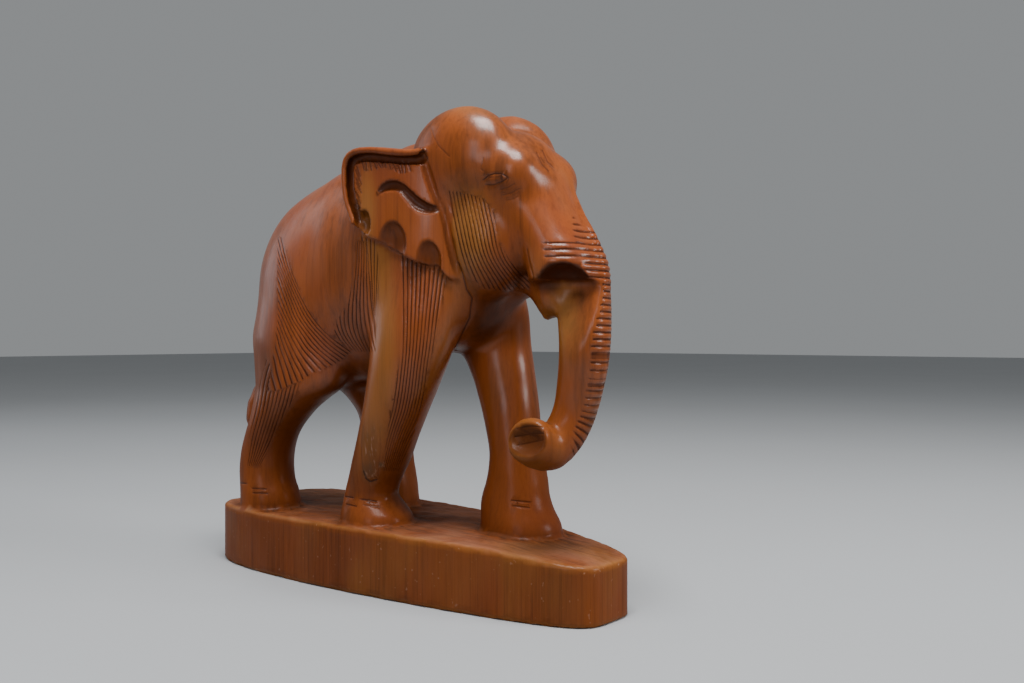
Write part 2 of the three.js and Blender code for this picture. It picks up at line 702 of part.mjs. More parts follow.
/** The plinth, as rings of its outline from the underside to the worn top. */
function plinth() {
  const top = new Profile(PLINTH_TOP);
  const outline = [];
  for (let i = 0; i < PLINTH_STATIONS; i += 1) {
    const turn = (2 * Math.PI * i) / PLINTH_STATIONS;
    const c = Math.cos(turn);
    const s = Math.sin(turn);
    const along = Math.sign(c) * Math.abs(c) ** (2 / PLINTH_LENGTH_POWER);
    const across = Math.sign(s) * Math.abs(s) ** (2 / PLINTH_WIDTH_POWER);
    outline.push([
      (along * PLINTH_LENGTH) / 2,
      ((across * PLINTH_WIDTH) / 2) * (1 - PLINTH_TAPER * along),
    ]);
  }
  const inset = outline.map(([x, y]) => {
    const shrink = 1 - (2 * ARRIS_WIDTH) / PLINTH_WIDTH;
    return [x * (1 - (2 * ARRIS_WIDTH) / PLINTH_LENGTH), y * shrink];
  });
  const rings = [
    outline.map(([x, y]) => [x, y, 0]),
    outline.map(([x, y]) => [x, y, top.at(x)[0] - ARRIS_DROP]),
    inset.map(([x, y]) => [x, y, top.at(x)[0]]),
  ];
  const n = PLINTH_STATIONS;
  const points = rings.flat();
  const triangles = [];
  for (let r = 0; r < rings.length - 1; r += 1) {
    for (let i = 0; i < n; i += 1) {
      const a = r * n + i;
      const b = r * n + ((i + 1) % n);
      triangles.push([a, b, b + n], [a, b + n, a + n]);
    }
  }
  // Caps are strips between points that face each other across the middle line.
  const cap = (base, up) => {
    for (let i = 0; i < n / 2; i += 1) {
      const a = base + i;
      const b = base + i + 1;
      const c = base + ((n - i - 1) % n);
      const d = base + ((n - i) % n);
      const faces = [[a, b, c], [a, c, d]].filter((t) => new Set(t).size === 3);
      for (const t of faces) triangles.push(up ? t : [t[0], t[2], t[1]]);
    }
  };
  cap(0, false);
  cap((rings.length - 1) * n, true);
  return { points, triangles };
}

const wasm = await Module();
wasm.setup();

/** A solid of the joining library from a closed mesh. */
function solidOf({ points, triangles }) {
  return new wasm.Manifold(new wasm.Mesh({
    numProp: 3,
    vertProperties: new Float32Array(points.flat()),
    triVerts: new Uint32Array(triangles.flat()),
  }));
}

const fine = surface(elephant(), [-132, -54, 4], [132, 54, 242], CELL);
const animal = new Thinner(fine).run(ELEPHANT_TRIANGLES);
const carving = solidOf(animal).add(solidOf(plinth())).getMesh();

const geometry = new THREE.BufferGeometry();
geometry.setAttribute('position', new THREE.BufferAttribute(carving.vertProperties, 3));
geometry.setIndex(new THREE.BufferAttribute(carving.triVerts, 1));
geometry.computeVertexNormals();

const wood = new THREE.MeshStandardMaterial({
  color: WOOD_COLOUR,
  roughness: WOOD_ROUGHNESS,
  metalness: 0,
});
const sculpture = new THREE.Mesh(geometry, wood);
sculpture.name = 'carved_elephant';

const part = new THREE.Group();
part.add(sculpture);

export default part;
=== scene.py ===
"""Looks of a carved, varnished wooden elephant that walks on its own plinth.

Sizes in the classes are millimetres in the part's frame: +Z up, +X the way the elephant
walks, the origin in the middle of the plinth's underside. Meshes are handed over in metres.
"""
import logging
import math
from dataclasses import dataclass
from enum import Enum
from typing import Callable, Sequence

import bpy
import numpy as np
from mathutils import Matrix, Vector


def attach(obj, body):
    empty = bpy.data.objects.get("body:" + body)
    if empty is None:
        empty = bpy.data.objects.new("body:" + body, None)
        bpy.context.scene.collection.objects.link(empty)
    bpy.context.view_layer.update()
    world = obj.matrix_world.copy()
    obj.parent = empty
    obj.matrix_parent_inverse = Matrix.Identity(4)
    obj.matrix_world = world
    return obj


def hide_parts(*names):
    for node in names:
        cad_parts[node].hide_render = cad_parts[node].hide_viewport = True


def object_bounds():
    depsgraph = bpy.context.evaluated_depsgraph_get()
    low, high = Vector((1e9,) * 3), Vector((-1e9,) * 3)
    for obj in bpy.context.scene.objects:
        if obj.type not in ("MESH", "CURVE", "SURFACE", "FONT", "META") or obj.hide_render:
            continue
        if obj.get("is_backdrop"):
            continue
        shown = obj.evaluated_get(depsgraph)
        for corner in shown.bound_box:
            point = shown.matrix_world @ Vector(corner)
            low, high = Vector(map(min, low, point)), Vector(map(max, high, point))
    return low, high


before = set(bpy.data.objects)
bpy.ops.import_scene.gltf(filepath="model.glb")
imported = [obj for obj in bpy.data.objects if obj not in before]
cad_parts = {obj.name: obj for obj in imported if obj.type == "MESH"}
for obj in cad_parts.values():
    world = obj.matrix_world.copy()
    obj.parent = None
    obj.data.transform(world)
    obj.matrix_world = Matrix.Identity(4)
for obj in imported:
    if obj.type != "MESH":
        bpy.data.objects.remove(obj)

LOG = logging.getLogger("elephant")
MM = 0.001
Points = np.ndarray
Field = Callable[[Points], np.ndarray]
Row = tuple[float, ...]


def join(a: np.ndarray, b: np.ndarray, soft: float) -> np.ndarray:
    """Joins two shapes with a soft seam.

    Args:
        a: distance to the first shape.
        b: distance to the second shape.
        soft: how wide the seam is rounded.

    Returns:
        the distance to both together.
    """
    if soft <= 0:
        return np.minimum(a, b)
    h = np.clip(0.5 + 0.5 * (b - a) / soft, 0, 1)
    return b * (1 - h) + a * h - soft * h * (1 - h)


def meet(a: np.ndarray, b: np.ndarray, soft: float) -> np.ndarray:
    """What two shapes have in common, with a softly rounded edge."""
    return -join(-a, -b, soft)


def ramp(value: np.ndarray, low: float, high: float) -> np.ndarray:
    """Smooth step from 0 at `low` to 1 at `high`; the two may be in either order."""
    t = np.clip((value - low) / (high - low), 0, 1)
    return t * t * (3 - 2 * t)


def mirrored(p: Points) -> Points:
    """Folds both sides of the elephant onto the left.

    Args:
        p: the points.

    Returns:
        the folded points.
    """
    q = p.copy()
    q[:, 1] = np.abs(q[:, 1])
    return q


def outline_gap(u: np.ndarray, v: np.ndarray, pts: np.ndarray) -> np.ndarray:
    """Signed distance to a closed outline in a plane, below zero inside.

    Args:
        u: first coordinate of each point.
        v: second coordinate of each point.
        pts: corners of the outline.

    Returns:
        one distance per point.
    """
    nearest = np.full(len(u), np.inf)
    inside = np.zeros(len(u), bool)
    for a, b in zip(np.roll(pts, 1, axis=0), pts):
        ex, ey = b - a
        t = np.clip(((u - a[0]) * ex + (v - a[1]) * ey) / (ex * ex + ey * ey), 0, 1)
        nearest = np.minimum(nearest, (u - a[0] - t * ex) ** 2 + (v - a[1] - t * ey) ** 2)
        if ey != 0:
            inside ^= ((a[1] > v) != (b[1] > v)) & (u < a[0] + ex * (v - a[1]) / ey)
    nearest = np.sqrt(nearest)
    return np.where(inside, -nearest, nearest)


class Profile:
    """A smooth run of values through rows [t, v0, v1, ...] sorted by t."""

    def __init__(self, rows: Sequence[Row]) -> None:
        """Works out the slope at each row.

        Args:
            rows: the rows to pass through.
        """
        table = np.array(rows, float)
        self.t, self.v = table[:, 0], table[:, 1:]
        chords = np.diff(self.v, axis=0) / np.diff(self.t)[:, None]
        self.slope = (np.vstack([chords[:1], chords]) + np.vstack([chords, chords[-1:]])) / 2

    def at(self, t: np.ndarray) -> np.ndarray:
        """Reads the run.

        Args:
            t: where to read it; beyond its ends the end values hold.

        Returns:
            one row of values per t.
        """
        x = np.clip(t, self.t[0], self.t[-1])
        i = np.clip(np.searchsorted(self.t, x, side="right") - 1, 0, len(self.t) - 2)
        h = self.t[i + 1] - self.t[i]
        s = ((x - self.t[i]) / h)[:, None]
        h = h[:, None]
        s2, s3 = s * s, s * s * s
        return (
            (2 * s3 - 3 * s2 + 1) * self.v[i]
            + (s3 - 2 * s2 + s) * h * self.slope[i]
            + (3 * s2 - 2 * s3) * self.v[i + 1]
            + (s3 - s2) * h * self.slope[i + 1]
        )


@dataclass(frozen=True)
class Egg:
    """An ellipsoid that runs softly into the shapes before it."""

    centre: Row
    half: Row
    soft: float = 0.0

    def distance(self, p: Points) -> np.ndarray:
        """Measures points against the egg.

        Args:
            p: the points.

        Returns:
            the distance of each.
        """
        half = np.array(self.half)
        q = (p - np.array(self.centre)) / half
        k0 = np.sqrt((q * q).sum(1))
        k1 = np.sqrt(((q / half) ** 2).sum(1)) + 1e-9
        return k0 * (k0 - 1) / k1


@dataclass(frozen=True)
class Column:
    """An upright column through rows [z, x, y, half length, half width]."""

    rows: tuple[Row, ...]
    top: float
    cap_blend: float = 8.0

    def distance(self, p: Points) -> np.ndarray:
        """Measures points against the column.

        Args:
            p: the points.

        Returns:
            the distance of each.
        """
        v = Profile(self.rows).at(p[:, 2])
        rx, ry = v[:, 2], v[:, 3]
        qx, qy = (p[:, 0] - v[:, 0]) / rx, (p[:, 1] - v[:, 1]) / ry
        k0 = np.hypot(qx, qy)
        k1 = np.hypot(qx / rx, qy / ry) + 1e-9
        side = np.where(k0 < 1e-6, -np.minimum(rx, ry), k0 * (k0 - 1) / k1)
        return meet(side, p[:, 2] - self.top, self.cap_blend)


@dataclass(frozen=True)
class Tube:
    """A round tube through rows [x, y, z, radius], in straight pieces."""

    rows: tuple[Row, ...]
    pieces: int

    def nodes(self) -> tuple[np.ndarray, np.ndarray]:
        """The nodes of the tube.

        Returns:
            the run along the middle line at each node, and [x, y, z, radius] there.
        """
        table = np.array(self.rows, float)
        steps = np.linalg.norm(np.diff(table[:, :3], axis=0), axis=1)
        run = np.concatenate([[0], np.cumsum(steps)])
        along = np.linspace(0, run[-1], self.pieces + 1)
        return along, Profile(np.column_stack([run, table])).at(along)

    def nearest(self, p: Points) -> tuple[np.ndarray, np.ndarray, np.ndarray]:
        """Measures points against the tube.

        Args:
            p: the points.

        Returns:
            the distance, the run along the middle line, and the offset from that line.
        """
        along, nodes = self.nodes()
        best = np.full(len(p), np.inf)
        run = np.zeros(len(p))
        offset = np.zeros((len(p), 3))
        for i in range(self.pieces):
            a, b = nodes[i], nodes[i + 1]
            e = b[:3] - a[:3]
            t = np.clip(((p - a[:3]) @ e) / (e @ e), 0, 1)
            gap = p - a[:3] - t[:, None] * e
            d = np.sqrt((gap * gap).sum(1)) - (a[3] + t * (b[3] - a[3]))
            closer = d < best
            best = np.where(closer, d, best)
            run = np.where(closer, along[i] + t * (along[i + 1] - along[i]), run)
            offset[closer] = gap[closer]
        return best, run, offset

    def distance(self, p: Points) -> np.ndarray:
        """Distance from each point to the tube."""
        return self.nearest(p)[0]


def within(p: Points, lo: Row, hi: Row, margin: float, shape: Field) -> np.ndarray:
    """A field worked out only near its own box; farther away the box distance stands in.

    Args:
        p: the points.
        lo: lowest corner of the box.
        hi: highest corner of the box.
        margin: how near the box a point has to be.
        shape: the field.

    Returns:
        one distance per point.
    """
    gap = np.maximum(np.maximum(np.array(lo) - p, p - np.array(hi)), 0)
    out = np.sqrt((gap * gap).sum(1))
    close = out < margin
    if close.any():
        out[close] = shape(p[close])
    return out


@dataclass(frozen=True)
class Plinth:
    """The block that the elephant walks on, wider at the back than at the front."""

    length: float = 253.0
    width: float = 83.0
    length_power: float = 1.91
    width_power: float = 4.69
    taper: float = 0.28
    arris: float = 2.2
    top: tuple[Row, ...] = (
        (-127, 31.5), (-60, 32.2), (40, 32), (75, 31), (100, 29), (127, 26.5),
    )

    def side(self, p: Points) -> np.ndarray:
        """Measures points against the plinth's upright side.

        Args:
            p: the points.

        Returns:
            the distance of each.
        """
        x = p[:, 0] / (self.length / 2)
        half = (self.width / 2) * np.maximum(1 - self.taper * x, 0.3)
        ax, ay = np.abs(x), np.abs(p[:, 1]) / half
        m, n = self.length_power, self.width_power
        gx = m * np.maximum(ax, 1e-3) ** (m - 1) / (self.length / 2)
        gy = n * np.maximum(ay, 1e-3) ** (n - 1) / half
        return np.maximum((ax**m + ay**n - 1) / np.sqrt(gx**2 + gy**2 + 1e-9), -20)

    def above_top(self, p: Points) -> np.ndarray:
        """Height of each point above the worn top."""
        return p[:, 2] - Profile(self.top).at(p[:, 0])[:, 0]

    def distance(self, p: Points) -> np.ndarray:
        """Distance from each point to the plinth."""
        block = meet(self.side(p), self.above_top(p), self.arris)
        return np.maximum(block, -p[:, 2])


@dataclass(frozen=True)
class Legs:
    """The four legs in mid stride, with feet that run down into the plinth."""

    blend: float = 6.0
    foot_root: float = 12.0
    right_fore: Column = Column((
        (20, -4.8, -19.5, 19.5, 18), (32, -4.8, -19.5, 19.2, 18.2), (36, -5.5, -19.5, 18.8, 17.5),
        (41, -7.4, -19.5, 16, 15.8), (45, -8.9, -19.6, 14.2, 14), (50, -7.6, -19.8, 13.9, 13.6),
        (57, -4.1, -20.2, 14.5, 14), (64, -0.5, -20.5, 15.6, 14.5), (80, 6.7, -21.2, 17, 15),
        (99.5, 15, -21.6, 20.5, 15.5), (118, 21.5, -21.6, 24.5, 15.8), (135, 24, -21, 26.5, 15.8),
        (150, 24, -19.5, 26, 15), (175, 20, -15, 18, 12),
    ), 172)
    left_fore: Column = Column((
        (20, 64.1, 12, 21.5, 18), (32, 64.1, 12, 21.4, 17.8), (36, 63.3, 12.3, 21, 17.4),
        (43, 60.3, 13, 19.2, 16.3), (48.5, 59.5, 13.5, 17.6, 15.6), (54, 59.8, 14, 16.2, 15),
        (60, 59.6, 14.5, 14.9, 14.6), (69, 58.5, 15.5, 14.2, 14), (79, 55.8, 16.2, 14.4, 14),
        (90.5, 52.8, 17, 15.2, 14.4), (102, 49, 17.8, 16.6, 14.8), (111, 45.6, 18, 18.2, 15.2),
        (118, 42.8, 18.2, 19.6, 15.4), (140, 36, 18.6, 24, 15.6), (155, 31, 18, 24, 15),
        (175, 22, 15, 18, 12),
    ), 172)
    right_hind: Column = Column((
        (20, -87, -24.5, 17.2, 16.5), (32, -87, -24.5, 17, 16.5), (40, -88, -24.5, 16.6, 16.2),
        (45, -90, -24.3, 15.9, 15.5), (52.4, -91.5, -24, 15.3, 15.2), (59, -90.9, -24, 15, 15),
        (66, -89, -24, 15, 15), (74, -85, -24, 15.8, 15.2), (82, -79.5, -23.5, 19, 15.4),
        (90, -73.5, -22.8, 24.5, 15.6), (97.7, -66.5, -22, 32, 16), (110, -65, -21, 36, 17),
        (130, -66, -19, 37, 19), (160, -66, -14, 28, 14),
    ), 156)
    left_hind: Column = Column((
        (20, -37, 21, 15.2, 15.2), (37, -37.1, 21, 15, 15), (42, -37.8, 21, 15.2, 15.2),
        (48.6, -39, 21, 15.1, 15.1), (55, -40.5, 21, 15, 15), (66, -41.8, 21.3, 14.8, 15),
        (78.6, -42.6, 21.6, 15.3, 15), (84.7, -44.8, 21.6, 17, 15.2), (90.4, -49, 21.4, 20, 15.6),
        (96.3, -54, 21, 25, 16.2), (110, -60, 21, 32, 17), (130, -64, 19, 36, 19),
        (160, -66, 14, 28, 14),
    ), 156)

    def distance(self, p: Points) -> np.ndarray:
        """Measures points against the legs.

        Args:
            p: the points.

        Returns:
            two rows of distances: to the nearer fore leg and to the nearer hind leg.
        """
        fore = np.minimum(
            within(p, (-40, -45, 0), (58, -2, 178), 12, self.right_fore.distance),
            within(p, (5, -8, 0), (92, 40, 178), 12, self.left_fore.distance),
        )
        hind = np.minimum(
            within(p, (-114, -46, 0), (-20, 2, 160), 12, self.right_hind.distance),
            within(p, (-110, -2, 0), (-14, 44, 160), 12, self.left_hind.distance),
        )
        return np.stack([fore, hind])


@dataclass(frozen=True)
class Trunk:
    """The trunk, cut off square at its end and dished between the two lips of the tip."""

    blend: float = 5.0
    stem: Tube = Tube((
        (82, 0, 192, 17), (92, 0, 178, 15.8), (102, 0, 164, 14.6), (108.6, 0, 150, 13.4),
        (110.8, 0, 134, 12.5), (110.8, 0, 118, 11.8), (108.5, 0, 103, 10.9),
        (105.5, -1, 90, 10.2), (102.5, -5.5, 80.5, 10.1), (100, -11.5, 76, 10.4),
        (98.5, -17, 77, 10.8), (98, -22, 79.5, 10.8),
    ), 36)
    tip: Row = (98, -22, 79.5)
    facing: Row = (0.12, -0.93, 0.33)
    reach: float = 6.0
    end_round: float = 2.5
    dish_half: Row = (10.4, 4.2, 6.6)
    dish_middle: Row = (101.4, -28.6, 81.8)
    dish_round: float = 1.8

    def dish(self) -> Egg:
        """The hollow scooped out of the cut end."""
        return Egg(self.dish_middle, self.dish_half)

    def axis(self) -> np.ndarray:
        """The way the cut end faces."""
        facing = np.array(self.facing)
        return facing / np.linalg.norm(facing)

    def distance(self, p: Points) -> np.ndarray:
        """Measures points against the trunk.

        Args:
            p: the points.

        Returns:
            the distance of each.
        """
        ahead = (p - np.array(self.tip)) @ self.axis()
        stub = meet(self.stem.distance(p), ahead - self.reach, self.end_round)
        return meet(stub, -self.dish().distance(p), self.dish_round)


@dataclass(frozen=True)
class Head:
    """Skull, domes, forehead, brows, cheeks, muzzle with its tusk sockets, and lower lip."""

    blend: float = 7.0
    skull: Egg = Egg((54, 0, 185), (33, 24, 37))
    dome: Egg = Egg((50.5, 15, 208.6), (30.5, 18.2, 26.4), 4)
    forehead: Egg = Egg((70, 0, 198), (23, 22, 25), 4)
    brow: Egg = Egg((80.5, 14.5, 199), (13.5, 11, 13), 7)
    cheek: Egg = Egg((62, 10, 170), (25, 18, 27), 9)
    muzzle: Column = Column((
        (140, 102, 0, 16, 17), (150, 102, 0, 17, 19.6), (157, 101, 0, 18, 19.8),
        (165, 97, 0, 18.2, 19.2), (171, 93, 0, 17.6, 19.4), (180, 87.5, 0, 17.4, 20),
        (188, 82, 0, 19.2, 20.4), (205, 75, 0, 19, 20),
    ), 204)
    lip_level: float = 150.5
    lip_round: float = 2.0
    muzzle_blend: float = 6.0
    tusk_hollow: Egg = Egg((112, 17.5, 144.5), (14.5, 13.5, 13))
    hollow_round: float = 1.5
    lower_lip: Tube = Tube((
        (56, 0, 162, 13), (72, 0, 156, 8.8), (83, 0, 149.5, 6.6), (88, 0, 141, 4.2),
        (89.5, 0, 135, 2.2),
    ), 10)
    lower_lip_blend: float = 4.0
    palate: Egg = Egg((94, 0, 147), (9, 9, 13), 4)

    def distance(self, p: Points) -> np.ndarray:
        """Measures points against the head.

        Args:
            p: the points.

        Returns:
            the distance of each.
        """
        q = mirrored(p)
        d = join(self.skull.distance(p), self.dome.distance(q), self.dome.soft)
        for shape in (self.forehead, self.brow, self.cheek):
            d = join(d, shape.distance(q), shape.soft)
        face = meet(self.muzzle.distance(p), self.lip_level - p[:, 2], self.lip_round)
        d = join(d, face, self.muzzle_blend)
        d = meet(d, -self.tusk_hollow.distance(q), self.hollow_round)
        d = join(d, self.lower_lip.distance(p), self.lower_lip_blend)
        return join(d, self.palate.distance(p), self.palate.soft)


@dataclass(frozen=True)
class Groove:
    """A round bead or gutter that follows the outline of an ear."""

    radius: float
    inset: float
    lift: float
    soft: float


@dataclass(frozen=True)
class Ear:
    """A flared leaf with a rolled rim, scoops along its lower edge and a folded slit."""

    blend: float = 2.0
    outline: tuple[Row, ...] = (
        (56, 204), (53, 213.4), (38.3, 213.4), (30.9, 214), (19.6, 216), (8, 217.2),
        (-0.3, 215.5), (-4, 211), (-4.8, 203.7), (-3.6, 192.6), (-0.4, 185), (2.8, 179.2),
        (9, 173.9), (17.7, 170.8), (24.8, 166.7), (34.8, 162), (42.5, 158.8), (46.3, 159.2),
        (49.4, 155.7), (52.7, 151.9), (55.2, 153.3), (55.6, 159.4), (54.5, 171), (57, 182),
        (58, 193),
    )
    root_out: float = 20.0
    flare: float = 20.5
    flare_start: float = 58.0
    flare_length: float = 17.0
    half_thickness: float = 4.5
    set_in: float = 2.3
    edge_round: float = 2.5
    rim: Groove = Groove(2.0, 1.9, 2.6, 1.0)
    undercut: Groove = Groove(1.9, 5.2, 1.0, 0.8)
    rim_front: float = 50.0
    rim_foot: float = 173.0
    rim_fade: float = 7.0
    rim_hide: float = 6.0
    scoops: tuple[Egg, ...] = (
        Egg((9.4, 3.6, 180), (4.2, 5.4, 6.6)),
        Egg((26.8, 3.4, 169.3), (7.6, 5.4, 10.9)),
        Egg((44.8, 3.4, 160.3), (5, 5.4, 10)),
    )
    fold: Tube = Tube((
        (18.3, 2, 193.8, 0.6), (22.3, 2, 196.4, 1.8), (27.2, 2, 197.1, 2.2),
        (32.2, 2, 195.4, 1.9), (36.2, 2, 191.4, 2.1), (40.3, 2, 187.4, 2.5),
        (44.7, 2, 185.2, 2), (49.7, 2, 184.8, 0.7),
    ), 16)
    cut_round: float = 0.8
    seam: Tube = Tube((
        (42.4, 34.6, 213, 0.8), (44, 34.2, 206, 1.6), (48, 31.9, 192, 1.8),
        (51.5, 29.3, 182, 1.8), (53.5, 28.3, 171, 1.8), (55.6, 26.6, 160, 1.8),
        (57, 25.4, 152, 1),
    ), 12)
    seam_round: float = 1.0

    def smooth_outline(self, between: int = 2) -> np.ndarray:
        """Rounds the outline with a closed centripetal curve through its corners.

        Args:
            between: how many points it has for each corner.

        Returns:
            the points of the curve.
        """
        c = np.array(self.outline, float)
        out = []
        for i in range(len(c)):
            p = [c[(i + k) % len(c)] for k in (-1, 0, 1, 2)]
            t = [0.0]
            for a, b in zip(p, p[1:]):
                t.append(t[-1] + math.sqrt(float(np.linalg.norm(b - a))))
            for k in range(between):
                s = t[1] + (t[2] - t[1]) * k / between

                def mix(a: np.ndarray, b: np.ndarray, i: int, j: int) -> np.ndarray:
                    """Goes from a at knot i to b at knot j."""
                    return ((t[j] - s) * a + (s - t[i]) * b) / (t[j] - t[i])

                a = [mix(p[j], p[j + 1], j, j + 1) for j in range(3)]
                out.append(mix(mix(a[0], a[1], 0, 2), mix(a[1], a[2], 1, 3), 1, 2))
        return np.array(out)

    def lift(self, p: Points) -> np.ndarray:
        """How far each point stands out from the middle of the leaf."""
        reach = np.maximum(self.flare_start - p[:, 0], 0) / self.flare_length
        return p[:, 1] - self.root_out - self.flare * (1 - np.exp(-reach))

    def edge(self, p: Points) -> np.ndarray:
        """Signed distance from each point to the outline, seen from the side."""
        return outline_gap(p[:, 0], p[:, 2], self.smooth_outline())

    def distance(self, p: Points) -> np.ndarray:
        """Measures points against the ear.

        Args:
            p: points folded onto the left side.

        Returns:
            the distance of each.
        """
        lift, edge = self.lift(p), self.edge(p)
        strength = np.clip((self.rim_front - p[:, 0]) / self.rim_fade, 0, 1)
        strength = strength * np.clip((p[:, 2] - self.rim_foot) / self.rim_fade, 0, 1)
        hidden = (1 - strength) * self.rim_hide

        def along(g: Groove) -> np.ndarray:
            """Distance to a bead that follows the outline."""
            return np.hypot(edge + g.inset, lift - g.lift) - g.radius + hidden

        d = meet(edge, np.abs(lift + self.set_in) - self.half_thickness, self.edge_round)
        d = join(d, along(self.rim), self.rim.soft)
        d = meet(d, -along(self.undercut), self.undercut.soft)
        q = np.stack([p[:, 0], lift, p[:, 2]], 1)
        for cut in (self.fold, *self.scoops):
            d = meet(d, -cut.distance(q), self.cut_round)
        return d


@dataclass(frozen=True)
class Elephant:
    """The whole carving: the animal and its plinth as one distance field."""

    body: tuple[Egg, ...] = (
        Egg((-65, 0, 152), (45, 36, 54)),
        Egg((-60, 0, 140), (42, 34, 38), 8),
        Egg((-26, 0, 160), (64, 37, 58.5), 12),
        Egg((12, 0, 171), (44, 35, 54), 12),
        Egg((36, 0, 149), (28, 28, 29), 10),
    )
    legs: Legs = Legs()
    head: Head = Head()
    trunk: Trunk = Trunk()
    ear: Ear = Ear()
    tail: Tube = Tube((
        (-96, 3, 192, 4), (-104, 4, 178, 4), (-109, 4.5, 155, 4), (-110, 2, 130, 4),
        (-108, -6, 108, 4.2), (-107.5, -14, 94, 6.5), (-106, -18, 82, 8.3),
        (-105.5, -19.5, 72, 5.5),
    ), 18)
    tail_blend: float = 3.0
    plinth: Plinth = Plinth()
    foot_crease: float = 1.0

    def animal(self, p: Points) -> np.ndarray:
        """Measures points against the animal, whose feet reach down into the plinth.

        Args:
            p: the points.

        Returns:
            the distance of each.
        """
        d = self.body[0].distance(p)
        for egg in self.body[1:]:
            d = join(d, egg.distance(p), egg.soft)
        for pair in self.legs.distance(p):
            d = join(d, pair, self.legs.blend)
        q = mirrored(p)
        ear = self.ear
        d = join(d, within(p, (10, -40, 120), (125, 40, 240), 15, self.head.distance),
                 self.head.blend)
        trunk = within(p, (60, -40, 60), (130, 25, 215), 15, self.trunk.distance)
        d = join(d, trunk, self.trunk.blend)
        d = join(d, within(q, (-16, 20, 146), (62, 46, 224), 8, ear.distance), ear.blend)
        seam = within(q, (40, 22, 148), (60, 38, 216), 8, ear.seam.distance)
        d = meet(d, -seam, ear.seam_round)
        tail = within(p, (-125, -32, 60), (-90, 14, 200), 12, self.tail.distance)
        d = join(d, tail, self.tail_blend)
        return np.maximum(d, self.legs.foot_root - p[:, 2])

    def distance(self, p: Points) -> np.ndarray:
        """Distance from each point to the carving."""
        return join(self.animal(p), self.plinth.distance(p), self.foot_crease)


def slope_of(shape: Field, p: Points, step: float = 0.05) -> tuple[np.ndarray, np.ndarray]:
    """The field and its slope at points.

    Args:
        shape: the distance field.
        p: the points.
        step: how far apart the field is compared.

    Returns:
        the distance and the gradient at each point.
    """
    d = shape(p)
    return d, np.stack([(shape(p + step * np.eye(3)[k]) - d) / step for k in range(3)], 1)


def unit_slope(shape: Field, p: Points) -> np.ndarray:
    """The way out of the shape at each point, one unit long."""
    _, slope = slope_of(shape, p)
    return slope / np.maximum(np.linalg.norm(slope, axis=1), 1e-6)[:, None]


